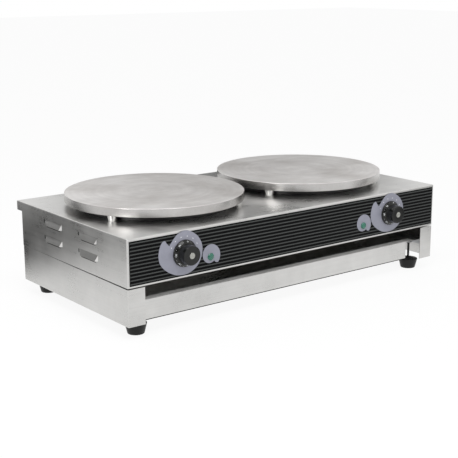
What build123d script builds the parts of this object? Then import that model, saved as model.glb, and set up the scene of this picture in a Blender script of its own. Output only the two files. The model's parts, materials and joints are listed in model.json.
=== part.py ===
from build123d import *
import math
import os

# Double electric crepe maker. Millimetres, +Z up, +X to the right seen from the front, the front faces -Y.
# The origin lies on the supporting surface, under the middle of the overall box.

# ---------------------------------------------------------------- room for the plates, which sizes the body
PLATE_RADIUS = 200.0
PLATE_SPACE = 26.0           # between the rims of the two plates
PLATE_END_MARGIN = 27.0      # from a plate's rim to the end of the body
PLATE_FRONT_MARGIN = 40.0    # from the plates' rims to the body's front; their rear rims lie over its back

# ---------------------------------------------------------------- body
HOUSING_HEIGHT = 100.0
BASE_HEIGHT = 80.0
FOOT_HEIGHT = 28.0           # from the floor to the lower edge of the base
HOUSING_SHEET = 1.2
BASE_SHEET = 1.5
FOLD_RADIUS = 2.0
SEAM_GAP = 1.2               # open joint between the housing's lower edge and the base
SHEET_FIT = 0.2              # clearance of a sheet that slips inside another
REAR_OVERHANG = 24.0
REAR_LIP = 21.0

# ---------------------------------------------------------------- pressed louvres in the sides
LOUVRE_LENGTH = 72.0
LOUVRE_HEIGHT = 13.0
LOUVRE_REACH = 4.5
LOUVRE_END = 7.0             # length over which an end slopes out
LOUVRE_END_ROUND = 5.0
LOUVRE_COLUMN_PITCH = 147.0
LOUVRE_ROW_PITCH = 36.0
LOUVRE_LOWEST = 32.0         # lower edge of the lower row, above the seam

# ---------------------------------------------------------------- control panel
FASCIA_MARGIN = 5.0          # body showing at each end
FASCIA_RISE = 4.0            # lower edge above the seam
FASCIA_HEAD = 5.5            # upper edge below the deck
FASCIA_THICKNESS = 1.2
RIB_COUNT = 12
RIB_MARGIN = 4.0             # outer ribs' axes from the panel's edges
RIB_WIDTH = 2.6
RIB_RAISE = 0.5
CONTROL_RISE = 1.5           # knob axes above the middle of the housing
KNOB_OFFSET_LEFT = 92.0      # outwards from the middle of the plate behind
KNOB_OFFSET_RIGHT = 75.0
LAMP_OFFSET_LEFT = 23.5
LAMP_OFFSET_RIGHT = -9.0
LAMP_DROP = 18.5             # lamp axes below the knob axes
SPIRAL_THICKNESS = 0.6
SPIRAL_STATIONS = 12         # points along the edge of a spiral plate
DIAL_START_RADIUS = 35.0
DIAL_START_ANGLE = 154.0
DIAL_TURN_ANGLE = 349.0
DIAL_END_RADIUS = 60.5       # after a full turn
DIAL_SWELL = 7.0
DIAL_SWELL_ANGLE = 82.0
DIAL_NOSE_RADIUS = 52.2      # tip beside the notch
DIAL_NOSE_ANGLE = 146.0
LAMP_START_RADIUS = 15.8
LAMP_START_ANGLE = -65.0
LAMP_TURN_ANGLE = 345.0
LAMP_END_RADIUS = 27.1
LAMP_SWELL = 4.2
LAMP_SWELL_ANGLE = 215.0
LAMP_NOSE_RADIUS = 21.6
LAMP_NOSE_ANGLE = 297.0
LAMP_PLATE_RISE = 6.5        # centre of the lamp's spiral above its lens

# ---------------------------------------------------------------- knobs, thermostats and lamps
KNOB_GAP = 0.8               # between the dial plate and the knob's back
KNOB_HEIGHT = 26.4
SKIRT_RADIUS = 28.5
SKIRT_EDGE = 2.6
SKIRT_HEIGHT = 8.0
SKIRT_NECK_RADIUS = 21.5
GRIP_RADIUS = 19.2
GRIP_FACE_RADIUS = 17.4
GRIP_ROUND = 1.2
KNOB_WALL = 2.2
KNOB_HOLLOW = 1.8
KNOB_HUB_RADIUS = 6.5
CAP_RADIUS = 6.5
CAP_THICKNESS = 1.0
CAP_PROUD = 0.5
SHAFT_RADIUS = 3.0
SHAFT_FLAT = 0.8             # depth of the D flat
SHAFT_IN_KNOB = 18.0
SHAFT_IN_BODY = 12.0
SHAFT_RUNNING_CLEARANCE = 0.05
SHAFT_END_CLEARANCE = 0.5
PANEL_HOLE_RADIUS = 5.0
BUSH_RADIUS = 4.75
THERMOSTAT_RADIUS = 21.0
THERMOSTAT_DEPTH = 24.0
THERMOSTAT_FLANGE = (56.0, 30.0, 1.5)
TAB_SIZE = (6.3, 0.8, 8.0)   # push-on terminal: width, thickness, length
TAB_SPACING = 20.0
LENS_RADIUS = 6.6
LENS_FLANGE = 1.0
LENS_DOME = 3.6
LAMP_TUBE_RADIUS = 4.8
LAMP_TUBE_LENGTH = 27.0
LAMP_CLIP_RADIUS = 8.0
LAMP_CLIP_THICKNESS = 2.0
LAMP_TAB_SPACING = 5.0

# ---------------------------------------------------------------- cooking plates and heaters
PLATE_THICKNESS = 19.0
PLATE_GAP = 13.0             # deck to plate
PLATE_TOP_ROUND = 1.5
PLATE_BOTTOM_CHAMFER = 1.0
RECESS_MARGIN = 36.0         # from the rim to the recess under the plate
RECESS_DEPTH = 8.0
POST_INSET = 14.0            # post axes from the plate's rim
POST_COUNT = 3
POST_FIRST_ANGLE = 208.0
POST_TOP_RADIUS = 12.0
POST_FOOT_RADIUS = 10.0
BOLT_RADIUS = 4.0
BOLT_HOLE_CLEARANCE = 0.5
BOLT_THREAD_CLEARANCE = 0.05
BOLT_GRIP = 10.0             # thread length in the plate
BOLT_HEAD_FLATS = 13.0
BOLT_HEAD_HEIGHT = 5.3
PAN_POST_CLEARANCE = 2.0
PAN_LEDGE = 14.0             # flat of the pan that lies on the deck
PAN_DEPTH = 15.0             # dish below the deck's top
PAN_SHEET = 1.0
PAN_OPENING_CLEARANCE = 2.0
ELEMENT_RADIUS = 4.0
ELEMENT_INNER_RADIUS = 60.0
ELEMENT_MARGIN = 24.0        # outer end's axis from the recess's edge
ELEMENT_HALF_TURNS = 4
ELEMENT_BEND = 14.0
ELEMENT_LEG = 26.0
ELEMENT_SEAT = 0.1           # gap between the element and what holds it
LEG_HOLE_CLEARANCE = 1.5
STRAP_OVERHANG = 7.0         # strap past the outermost turn
STRAP_WIDTH = 20.0
STRAP_THICKNESS = 1.5
BOSS_RADIUS = 9.0
STRAP_SCREW_RADIUS = 3.0
STRAP_SCREW_GRIP = 10.0
STRAP_SCREW_FLATS = 10.0
STRAP_SCREW_HEAD = 3.0
INSULATION_AIR = 1.3         # between the board and the strap's screw
INSULATION_FIT = 2.0
SENSOR_RADIUS = 3.0
SENSOR_LENGTH = 80.0
SENSOR_MARGIN = 24.0         # axis from the front of the recess's edge
SENSOR_SHIFT = 10.0          # towards the machine's middle
CAPILLARY_RADIUS = 1.0
CAPILLARY_BEND = 8.0
CAPILLARY_RUN = 16.0
CAPILLARY_RISE = 4.4         # run forwards above the thermostat's axis
CAPILLARY_HOLE_CLEARANCE = 1.5

# ---------------------------------------------------------------- rear panel and floor of the housing
COVER_FLANGE = 15.0
VENT_WIDTH = 5.0
VENT_HEIGHT = 40.0
VENT_PITCH = 14.0
VENT_COUNT = 9
VENT_LOW = 34.0              # above the seam
GLAND_INSET = 68.0           # from the right end of the body
GLAND_RISE = 34.0            # above the seam
GLAND_BORE_RADIUS = 5.0
GLAND_THREAD_RADIUS = 10.0
GLAND_FLATS = 24.0
GLAND_NUT = 5.0
GLAND_DOME = 15.0
GLAND_DOME_RADIUS = 11.0
GLAND_MOUTH_RADIUS = 8.0
GLAND_LOCKNUT_FLATS = 26.0
GLAND_HOLE_CLEARANCE = 0.3
TERMINAL_BLOCK_SIZE = (66.0, 24.0, 20.0)
TERMINAL_WAYS = 5
TERMINAL_WAY_RADIUS = 3.2
TERMINAL_WAY_DEPTH = 12.0
TERMINAL_BLOCK_INSET = 90.0  # from the inside of the rear panel to the block's middle
SCREW_RADIUS = 2.0
SCREW_HEAD_RADIUS = 4.0
SCREW_CROWN_RADIUS = 2.8
SCREW_HEAD_HEIGHT = 2.4
SCREW_LENGTH = 8.0
SCREW_CLEARANCE = 0.3
REAR_SCREW_COUNT = 5
REAR_SCREW_INSET = 40.0      # outer screws from the ends of the body
REAR_SCREW_RISE = 8.0        # above the seam
BASE_SCREW_COUNT = 3
BASE_SCREW_INSET = 50.0      # outer screws from the front and back of the body

# ---------------------------------------------------------------- base, drawer and feet
POST_FLANGE = 40.0           # width of the base's corner posts
TOP_FLANGE = 25.0
BASE_REAR_LAP = 30.0         # rear panel of the base overlaps the rear posts
RAIL_TOP = 45.0              # sliding face above the base's lower edge
RAIL_DROP = 18.0             # flange of a rail that lies on the side wall
DRAWER_INSET = 63.0          # from the body's side to the side of the drawer's box
DRAWER_SETBACK = 9.0
DRAWER_RISE = 3.5            # face's lower edge above the base's lower edge
DRAWER_SHEET = 1.2
DRAWER_POST_CLEARANCE = 2.0  # between the rims' edges and the corner posts
DRAWER_LIP = 19.5
DRAWER_HEM = 8.0
DRAWER_SLIDE_CLEARANCE = 0.3
DRAWER_RAIL_CLEARANCE = 4.0
DRAWER_STOP_GAP = 1.0
DRAWER_CORNER = 6.0
FOOT_INSET_X = 40.0
FOOT_INSET_Y = 37.0
PAD_RADIUS = 23.0
PAD_FLOOR_RADIUS = 17.5
PAD_HEIGHT = 22.5
PAD_ROUND = 1.5
PAD_CONE_RADIUS = 11.0
PAD_CONE_TOP_RADIUS = 5.5
PAD_CONE_HEIGHT = 4.5
STUD_RADIUS = 4.0
STUD_BURIED = 14.0           # stud length inside the pad
STUD_BELOW_RAIL_TOP = 0.6
STUD_HOLE_CLEARANCE = 0.5
NUT_FLATS = 13.0
NUT_HEIGHT = 6.5
NUT_CLEARANCE = 0.05

# ---------------------------------------------------------------- places worked out from the sizes
DIAL_STACK = FASCIA_THICKNESS + RIB_RAISE + SPIRAL_THICKNESS
KNOB_BACK = DIAL_STACK + KNOB_GAP
KNOB_REACH = KNOB_BACK + KNOB_HEIGHT + CAP_PROUD
PLATE_SPACING = 2 * PLATE_RADIUS + PLATE_SPACE
BODY_WIDTH = PLATE_SPACING + 2 * (PLATE_RADIUS + PLATE_END_MARGIN)
BODY_DEPTH = PLATE_FRONT_MARGIN + 2 * PLATE_RADIUS
OVERALL_DEPTH = KNOB_REACH + BODY_DEPTH + REAR_OVERHANG

HALF_WIDTH = BODY_WIDTH / 2
Y_FRONT = KNOB_REACH - OVERALL_DEPTH / 2
Y_REAR = Y_FRONT + BODY_DEPTH
Y_LIP = Y_REAR + REAR_OVERHANG
Z_BASE = FOOT_HEIGHT
Z_SEAM = Z_BASE + BASE_HEIGHT
Z_DECK = Z_SEAM + HOUSING_HEIGHT
Z_LIP = Z_DECK - REAR_LIP
Z_PLATE = Z_DECK + PLATE_GAP
Z_RECESS = Z_PLATE + RECESS_DEPTH
Z_KNOB = Z_SEAM + HOUSING_HEIGHT / 2 + CONTROL_RISE
Z_LAMP = Z_KNOB - LAMP_DROP
Z_ELEMENT = Z_RECESS - ELEMENT_SEAT - ELEMENT_RADIUS
Z_STRAP = Z_ELEMENT - ELEMENT_RADIUS - ELEMENT_SEAT
Z_RAIL = Z_BASE + RAIL_TOP
Z_DRAWER = Z_BASE + DRAWER_RISE
Z_RIM = Z_RAIL + DRAWER_SLIDE_CLEARANCE
Z_RIM_TOP = Z_RIM + DRAWER_SHEET
Y_PLATE = Y_FRONT + PLATE_FRONT_MARGIN + PLATE_RADIUS
Y_BASE_REAR = Y_REAR - 2 * BASE_SHEET
Y_DRAWER = Y_FRONT + DRAWER_SETBACK
Y_DRAWER_REAR = Y_BASE_REAR - DRAWER_STOP_GAP
DRAWER_HALF = HALF_WIDTH - DRAWER_INSET
DRAWER_REACH = HALF_WIDTH - POST_FLANGE - DRAWER_POST_CLEARANCE
INSIDE_HALF = HALF_WIDTH - HOUSING_SHEET
PLATE_X = {"left": -PLATE_SPACING / 2, "right": PLATE_SPACING / 2}
KNOB_X = {"left": PLATE_X["left"] - KNOB_OFFSET_LEFT, "right": PLATE_X["right"] + KNOB_OFFSET_RIGHT}
LAMP_X = {"left": PLATE_X["left"] - LAMP_OFFSET_LEFT, "right": PLATE_X["right"] + LAMP_OFFSET_RIGHT}
GLAND_X = HALF_WIDTH - GLAND_INSET
SIDE_SIGN = {"left": -1, "right": 1}
FOOT_X = {"left": FOOT_INSET_X - HALF_WIDTH, "right": HALF_WIDTH - FOOT_INSET_X}
FOOT_Y = {"front": Y_FRONT + FOOT_INSET_Y, "rear": Y_REAR - FOOT_INSET_Y}
FASCIA_HEIGHT = HOUSING_HEIGHT - FASCIA_RISE - FASCIA_HEAD
POST_CIRCLE_RADIUS = PLATE_RADIUS - POST_INSET
PAN_RADIUS = POST_CIRCLE_RADIUS - POST_TOP_RADIUS - PAN_POST_CLEARANCE
PAN_DISH_RADIUS = PAN_RADIUS - PAN_LEDGE
RECESS_RADIUS = PLATE_RADIUS - RECESS_MARGIN
ELEMENT_OUTER_RADIUS = RECESS_RADIUS - ELEMENT_MARGIN
ELEMENT_STEP = (ELEMENT_OUTER_RADIUS - ELEMENT_INNER_RADIUS) / ELEMENT_HALF_TURNS
SENSOR_OFFSET = RECESS_RADIUS - SENSOR_MARGIN
OVERCUT = 1.0                # how far a cutting tool passes the faces that it cuts


# ---------------------------------------------------------------- helpers
def block(x0, x1, y0, y1, z0, z1):
    """A box between two opposite corners."""
    centre = Pos((x0 + x1) / 2, (y0 + y1) / 2, (z0 + z1) / 2)
    return centre * Box(x1 - x0, y1 - y0, z1 - z0)


def upright(radius, z0, z1, x=0.0, y=0.0):
    """A cylinder along Z from z0 to z1."""
    return Pos(x, y, (z0 + z1) / 2) * Cylinder(radius, z1 - z0)


def turned(points):
    """A solid of revolution about Z from a closed outline of (radius, height) points."""
    outline = make_face(Plane.XZ * Polyline(*points, close=True))
    return revolve(outline, Axis.Z)


def hexagon_bar(flats, z0, z1):
    """A hexagonal bar along Z, given across its flats."""
    section = RegularPolygon(flats / 2, 6, major_radius=False)
    return Pos(0, 0, z0) * extrude(section, amount=z1 - z0)


def facing_front(shape, x, z):
    """Turns a shape built along +Z to point forwards, its z = 0 on the body's front."""
    return Pos(x, Y_FRONT, z) * Rot(90, 0, 0) * shape


def facing_rear(shape, x, z):
    """Turns a shape built along +Z to point backwards, its z = 0 on the rear panel's back."""
    return Pos(x, Y_REAR, z) * Rot(-90, 0, 0) * shape


def spread(count, span):
    """Evenly spaced places over a span that is centred on zero."""
    return [span * (i / (count - 1) - 0.5) for i in range(count)]


# ---------------------------------------------------------------- upper housing
def louvre_form(length, height, reach, inward, drop):
    """A hood that leans out towards its lower edge (z = 0), with sloped ends; +X is outwards."""
    half = length / 2
    foot = [(reach, -drop)] if drop else []
    lean = Polyline((-inward, height), (0, height), (reach, 0), *foot, (-inward, -drop), close=True)
    leaning = extrude(Plane.XZ * make_face(lean), amount=half, both=True)
    ends = Polyline(
        (-inward, -half),
        (0, -half),
        (reach, LOUVRE_END - half),
        (reach, half - LOUVRE_END),
        (0, half),
        (-inward, half),
        close=True,
    )
    plan = make_face(ends)
    outer_corners = plan.vertices().sort_by(Axis.X)[-2:]
    plan = fillet(outer_corners, LOUVRE_END_ROUND)
    return leaning & Pos(0, 0, -drop) * extrude(plan, amount=height + drop)


def louvre_places():
    """Centre depth and lower edge of each louvre in one side."""
    middle = Y_FRONT + BODY_DEPTH / 2
    columns = [middle + shift for shift in spread(2, LOUVRE_COLUMN_PITCH)]
    rows = [Z_SEAM + LOUVRE_LOWEST + row * LOUVRE_ROW_PITCH for row in range(2)]
    return [(y, z) for y in columns for z in rows]


def post_places(side):
    """Centres of the three posts under one plate."""
    angles = [math.radians(POST_FIRST_ANGLE + 360 * i / POST_COUNT) for i in range(POST_COUNT)]
    return [
        (PLATE_X[side] + POST_CIRCLE_RADIUS * math.cos(a), Y_PLATE + POST_CIRCLE_RADIUS * math.sin(a))
        for a in angles
    ]


def upper_housing():
    body = block(-HALF_WIDTH, HALF_WIDTH, Y_FRONT, Y_REAR, Z_SEAM + SEAM_GAP, Z_DECK)
    body += block(-HALF_WIDTH, HALF_WIDTH, Y_REAR, Y_LIP, Z_LIP, Z_DECK)
    upright_edges = body.edges().filter_by(Axis.Z)
    folds = upright_edges.group_by(Axis.Y)[0] + upright_edges.group_by(Axis.Y)[-1]
    folds += body.faces().sort_by(Axis.Z)[-1].edges()
    body = fillet(folds, FOLD_RADIUS)

    low = Z_SEAM - OVERCUT
    top = Z_DECK - HOUSING_SHEET
    y_inside = Y_FRONT + HOUSING_SHEET
    body -= block(-INSIDE_HALF, INSIDE_HALF, y_inside, Y_REAR + OVERCUT, low, top)
    body -= block(-INSIDE_HALF, INSIDE_HALF, Y_REAR, Y_LIP - HOUSING_SHEET, Z_LIP - OVERCUT, top)

    hood = louvre_form(LOUVRE_LENGTH, LOUVRE_HEIGHT, LOUVRE_REACH, HOUSING_SHEET / 2, 0)
    inside_length = LOUVRE_LENGTH - 2 * HOUSING_SHEET
    inside_reach = LOUVRE_REACH - HOUSING_SHEET
    hollow = louvre_form(
        inside_length, LOUVRE_HEIGHT - HOUSING_SHEET, inside_reach, HOUSING_SHEET + OVERCUT, OVERCUT
    )
    for turn, x in ((0, HALF_WIDTH), (180, -HALF_WIDTH)):
        for y, z in louvre_places():
            body += Pos(x, y, z) * Rot(0, 0, turn) * hood
        for y, z in louvre_places():
            body -= Pos(x, y, z) * Rot(0, 0, turn) * hollow

    hole_radius = BOLT_RADIUS + BOLT_HOLE_CLEARANCE
    for side in ("left", "right"):
        opening = PAN_DISH_RADIUS + PAN_OPENING_CLEARANCE
        body -= upright(opening, top - OVERCUT, Z_DECK + OVERCUT, PLATE_X[side], Y_PLATE)
        for x, y in post_places(side):
            body -= upright(hole_radius, top - OVERCUT, Z_DECK + OVERCUT, x, y)
    return body - panel_holes()


def panel_holes():
    """Cutting tools for the holes of both shafts and both lamps, through every layer of the front."""
    tool = upright(PANEL_HOLE_RADIUS, -HOUSING_SHEET - OVERCUT, DIAL_STACK + OVERCUT)
    places = [(KNOB_X[side], Z_KNOB) for side in KNOB_X] + [(LAMP_X[side], Z_LAMP) for side in LAMP_X]
    return [facing_front(tool, x, z) for x, z in places]


def rear_panel():
    top = Z_DECK - HOUSING_SHEET
    half = INSIDE_HALF - SHEET_FIT
    panel = block(-half, half, Y_REAR - HOUSING_SHEET, Y_REAR, Z_SEAM, top)
    for group_x in PLATE_X.values():
        for shift in spread(VENT_COUNT, VENT_PITCH * (VENT_COUNT - 1)):
            slot = SlotCenterToCenter(VENT_HEIGHT - VENT_WIDTH, VENT_WIDTH, rotation=90)
            tool = Pos(0, 0, -HOUSING_SHEET - OVERCUT) * extrude(slot, amount=HOUSING_SHEET + 2 * OVERCUT)
            panel -= facing_rear(tool, group_x + shift, Z_SEAM + VENT_LOW + VENT_HEIGHT / 2)
    gland_hole = upright(GLAND_THREAD_RADIUS + GLAND_HOLE_CLEARANCE, -HOUSING_SHEET - OVERCUT, OVERCUT)
    panel -= facing_rear(gland_hole, GLAND_X, Z_SEAM + GLAND_RISE)
    return panel - rear_screw_holes()


def rear_screw_places():
    return spread(REAR_SCREW_COUNT, BODY_WIDTH - 2 * REAR_SCREW_INSET)


def rear_screw_holes():
    tool = upright(SCREW_RADIUS + SCREW_CLEARANCE, -2 * HOUSING_SHEET - OVERCUT, OVERCUT)
    return [facing_rear(tool, x, Z_SEAM + REAR_SCREW_RISE) for x in rear_screw_places()]


def base_screw_places():
    x = HALF_WIDTH - TOP_FLANGE / 2
    middle = Y_FRONT + BODY_DEPTH / 2
    span = BODY_DEPTH - 2 * BASE_SCREW_INSET
    return [(sign * x, middle + y) for sign in (-1, 1) for y in spread(BASE_SCREW_COUNT, span)]


def base_screw_holes(z0, z1):
    return [upright(SCREW_RADIUS + SCREW_CLEARANCE, z0, z1, x, y) for x, y in base_screw_places()]


def bottom_cover():
    half = INSIDE_HALF - SHEET_FIT
    y0 = Y_FRONT + HOUSING_SHEET + SHEET_FIT
    y1 = Y_REAR - HOUSING_SHEET
    wall = HOUSING_SHEET
    tray = block(-half, half, y0, y1, Z_SEAM, Z_SEAM + COVER_FLANGE)
    brim = Z_SEAM + COVER_FLANGE + OVERCUT
    tray -= block(wall - half, half - wall, y0 + wall, y1 - wall, Z_SEAM + wall, brim)
    tray -= base_screw_holes(Z_SEAM - OVERCUT, Z_SEAM + wall + OVERCUT)
    return tray - rear_screw_holes()


def rear_screws():
    head = turned(
        [
            (0, 0),
            (SCREW_HEAD_RADIUS, 0),
            (SCREW_HEAD_RADIUS, SCREW_HEAD_HEIGHT / 2),
            (SCREW_CROWN_RADIUS, SCREW_HEAD_HEIGHT),
            (0, SCREW_HEAD_HEIGHT),
        ]
    )
    screw = head + upright(SCREW_RADIUS, -SCREW_LENGTH, 0)
    return [facing_rear(screw, x, Z_SEAM + REAR_SCREW_RISE) for x in rear_screw_places()]


def base_screws():
    """Screws from below through the base's top flange and the housing's floor."""
    under = Z_SEAM - BASE_SHEET
    screw = upright(SCREW_HEAD_RADIUS, under - SCREW_HEAD_HEIGHT, under)
    screw += upright(SCREW_RADIUS, under, under + SCREW_LENGTH)
    return [Pos(x, y, 0) * screw for x, y in base_screw_places()]


# ---------------------------------------------------------------- control panel
def control_fascia():
    z0 = Z_SEAM + FASCIA_RISE
    half = HALF_WIDTH - FASCIA_MARGIN
    face = Y_FRONT - FASCIA_THICKNESS
    panel = block(-half, half, face, Y_FRONT, z0, z0 + FASCIA_HEIGHT)
    middle = z0 + FASCIA_HEIGHT / 2
    for shift in spread(RIB_COUNT, FASCIA_HEIGHT - 2 * RIB_MARGIN):
        z = middle + shift
        panel += block(-half, half, face - RIB_RAISE, face, z - RIB_WIDTH / 2, z + RIB_WIDTH / 2)
    return panel - panel_holes()


def spiral_plate(start, turn, end_radius, swell, nose):
    """A thin plate whose radius grows round one clockwise turn and swells towards one side.

    start, swell and nose are (radius, angle) pairs; the nose closes the outline beside its notch.
    """

    def place(radius, degrees):
        return radius * math.cos(math.radians(degrees)), radius * math.sin(math.radians(degrees))

    points = []
    for station in range(SPIRAL_STATIONS + 1):
        swept = turn * station / SPIRAL_STATIONS
        angle = start[1] - swept
        radius = start[0] + (end_radius - start[0]) * swept / 360
        radius += swell[0] * math.cos(math.radians(angle - swell[1]))
        points.append(place(radius, angle))
    edge = Spline(*points)
    tip = ThreePointArc(points[-1], place(*nose), points[0])
    back = FASCIA_THICKNESS + RIB_RAISE
    return Pos(0, 0, back) * extrude(make_face([edge, tip]), amount=SPIRAL_THICKNESS)


def dial_plate(side):
    start = (DIAL_START_RADIUS, DIAL_START_ANGLE)
    swell = (DIAL_SWELL, DIAL_SWELL_ANGLE)
    nose = (DIAL_NOSE_RADIUS, DIAL_NOSE_ANGLE)
    plate = spiral_plate(start, DIAL_TURN_ANGLE, DIAL_END_RADIUS, swell, nose)
    return facing_front(plate, KNOB_X[side], Z_KNOB) - panel_holes()


def lamp_plate(side):
    start = (LAMP_START_RADIUS, LAMP_START_ANGLE)
    swell = (LAMP_SWELL, LAMP_SWELL_ANGLE)
    nose = (LAMP_NOSE_RADIUS, LAMP_NOSE_ANGLE)
    plate = spiral_plate(start, LAMP_TURN_ANGLE, LAMP_END_RADIUS, swell, nose)
    return facing_front(plate, LAMP_X[side], Z_LAMP + LAMP_PLATE_RISE) - panel_holes()


def d_shaft(radius, flat, z0, z1):
    """A round shaft with one flat along it."""
    return upright(radius, z0, z1) & block(-radius, radius, -radius, radius - flat, z0, z1)


def knob(side):
    top = KNOB_BACK + KNOB_HEIGHT
    shape = turned(
        [
            (0, KNOB_BACK),
            (SKIRT_RADIUS, KNOB_BACK),
            (SKIRT_RADIUS, KNOB_BACK + SKIRT_EDGE),
            (SKIRT_NECK_RADIUS, KNOB_BACK + SKIRT_HEIGHT),
            (GRIP_RADIUS, KNOB_BACK + SKIRT_HEIGHT),
            (GRIP_FACE_RADIUS, top),
            (0, top),
        ]
    )
    shape = fillet(shape.edges().group_by(Axis.Z)[-1], GRIP_ROUND)
    hollow = upright(SKIRT_RADIUS - KNOB_WALL, KNOB_BACK - OVERCUT, KNOB_BACK + KNOB_HOLLOW)
    shape -= hollow - upright(KNOB_HUB_RADIUS, KNOB_BACK - OVERCUT, KNOB_BACK + KNOB_HOLLOW)
    shape -= d_shaft(SHAFT_RADIUS, SHAFT_FLAT, KNOB_BACK - OVERCUT, KNOB_BACK + SHAFT_IN_KNOB)
    shape -= upright(CAP_RADIUS, top + CAP_PROUD - CAP_THICKNESS, top + OVERCUT)
    return facing_front(shape, KNOB_X[side], Z_KNOB)


def knob_cap(side):
    top = KNOB_BACK + KNOB_HEIGHT + CAP_PROUD
    return facing_front(upright(CAP_RADIUS, top - CAP_THICKNESS, top), KNOB_X[side], Z_KNOB)


def thermostat_back():
    """Distance from the body's front back to the thermostat's case."""
    return HOUSING_SHEET + THERMOSTAT_FLANGE[2]


def thermostat_shaft(side):
    in_body = upright(SHAFT_RADIUS, -thermostat_back() - SHAFT_IN_BODY, KNOB_BACK)
    in_knob = d_shaft(SHAFT_RADIUS, SHAFT_FLAT, KNOB_BACK, KNOB_BACK + SHAFT_IN_KNOB)
    return facing_front(in_body + in_knob, KNOB_X[side], Z_KNOB)


def thermostat(side):
    width, height, thickness = THERMOSTAT_FLANGE
    back = thermostat_back()
    rear = -back - THERMOSTAT_DEPTH
    case = block(-width / 2, width / 2, -height / 2, height / 2, -back, -HOUSING_SHEET)
    case += upright(THERMOSTAT_RADIUS, rear, -back)
    case += upright(BUSH_RADIUS, -HOUSING_SHEET, DIAL_STACK)
    tab_width, tab_thickness, tab_length = TAB_SIZE
    tab = block(
        -tab_thickness / 2, tab_thickness / 2, -tab_width / 2, tab_width / 2, rear - tab_length, rear
    )
    for x in (-TAB_SPACING / 2, TAB_SPACING / 2):
        case += Pos(x, 0, 0) * tab
    bore_end = -back - SHAFT_IN_BODY - SHAFT_END_CLEARANCE
    case -= upright(SHAFT_RADIUS + SHAFT_RUNNING_CLEARANCE, bore_end, DIAL_STACK + OVERCUT)
    return facing_front(case, KNOB_X[side], Z_KNOB)


def lamp_lens(side):
    crown = DIAL_STACK + LENS_FLANGE
    round_radius = (LENS_RADIUS**2 + LENS_DOME**2) / (2 * LENS_DOME)
    dome = Pos(0, 0, crown + LENS_DOME - round_radius) * Sphere(round_radius)
    dome &= upright(LENS_RADIUS, crown, crown + LENS_DOME)
    return facing_front(dome + upright(LENS_RADIUS, DIAL_STACK, crown), LAMP_X[side], Z_LAMP)


def lamp_body(side):
    rear = -LAMP_TUBE_LENGTH
    shape = upright(LAMP_TUBE_RADIUS, rear, DIAL_STACK)
    shape += upright(LAMP_CLIP_RADIUS, -HOUSING_SHEET - LAMP_CLIP_THICKNESS, -HOUSING_SHEET)
    tab_width, tab_thickness, tab_length = TAB_SIZE
    tab = block(
        -tab_thickness / 2, tab_thickness / 2, -tab_width / 2, tab_width / 2, rear - tab_length, rear
    )
    for x in (-LAMP_TAB_SPACING / 2, LAMP_TAB_SPACING / 2):
        shape += Pos(x, 0, 0) * tab
    return facing_front(shape, LAMP_X[side], Z_LAMP)


# ---------------------------------------------------------------- cooking plates and heaters
def at_plate(shape, side):
    return Pos(PLATE_X[side], Y_PLATE, 0) * shape


def element_ends():
    """Centres of the two legs of a heating element, seen from its plate's centre."""
    return (ELEMENT_INNER_RADIUS, -ELEMENT_BEND), (ELEMENT_OUTER_RADIUS, ELEMENT_BEND)


def capillary_x(side):
    """Where the capillary drops, seen from its plate's centre."""
    outwards = SIDE_SIGN[side]
    return outwards * (SENSOR_LENGTH / 2 + CAPILLARY_RUN - SENSOR_SHIFT)


def cooking_plate(side):
    top = Z_PLATE + PLATE_THICKNESS
    plate = upright(PLATE_RADIUS, Z_PLATE, top)
    rims = plate.edges().group_by(Axis.Z)
    plate = chamfer(rims[0], PLATE_BOTTOM_CHAMFER)
    plate = fillet(plate.edges().group_by(Axis.Z)[-1], PLATE_TOP_ROUND)
    recess = upright(RECESS_RADIUS, Z_PLATE - OVERCUT, Z_RECESS) - upright(BOSS_RADIUS, Z_STRAP, Z_RECESS)
    plate -= recess
    plate -= upright(STRAP_SCREW_RADIUS, Z_STRAP - OVERCUT, Z_STRAP + STRAP_SCREW_GRIP)
    plate = at_plate(plate, side)
    for x, y in post_places(side):
        plate -= upright(BOLT_RADIUS + BOLT_THREAD_CLEARANCE, Z_PLATE - OVERCUT, Z_PLATE + BOLT_GRIP, x, y)
    return plate


def heater_pan(side):
    low = Z_DECK - PAN_DEPTH
    pan = turned(
        [
            (0, low),
            (PAN_DISH_RADIUS, low),
            (PAN_DISH_RADIUS, Z_DECK),
            (PAN_RADIUS, Z_DECK),
            (PAN_RADIUS, Z_PLATE),
            (PAN_RADIUS - PAN_SHEET, Z_PLATE),
            (PAN_RADIUS - PAN_SHEET, Z_DECK + PAN_SHEET),
            (PAN_DISH_RADIUS - PAN_SHEET, Z_DECK + PAN_SHEET),
            (PAN_DISH_RADIUS - PAN_SHEET, low + PAN_SHEET),
            (0, low + PAN_SHEET),
        ]
    )
    return at_plate(pan, side) - service_holes(side, low - OVERCUT, low + PAN_SHEET + OVERCUT)


def service_holes(side, z0, z1):
    """Cutting tools for the legs of the element and the sensor's capillary."""
    leg_hole = ELEMENT_RADIUS + LEG_HOLE_CLEARANCE
    tools = [upright(leg_hole, z0, z1, x, y) for x, y in element_ends()]
    capillary_hole = CAPILLARY_RADIUS + CAPILLARY_HOLE_CLEARANCE
    tools.append(upright(capillary_hole, z0, z1, capillary_x(side), -SENSOR_OFFSET))
    return [at_plate(tool, side) for tool in tools]


def insulation(side):
    low = Z_DECK - PAN_DEPTH + PAN_SHEET
    top = Z_STRAP - STRAP_THICKNESS - STRAP_SCREW_HEAD - INSULATION_AIR
    radius = PAN_DISH_RADIUS - PAN_SHEET - INSULATION_FIT
    board = at_plate(upright(radius, low, top), side)
    return board - service_holes(side, low - OVERCUT, top + OVERCUT)


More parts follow.
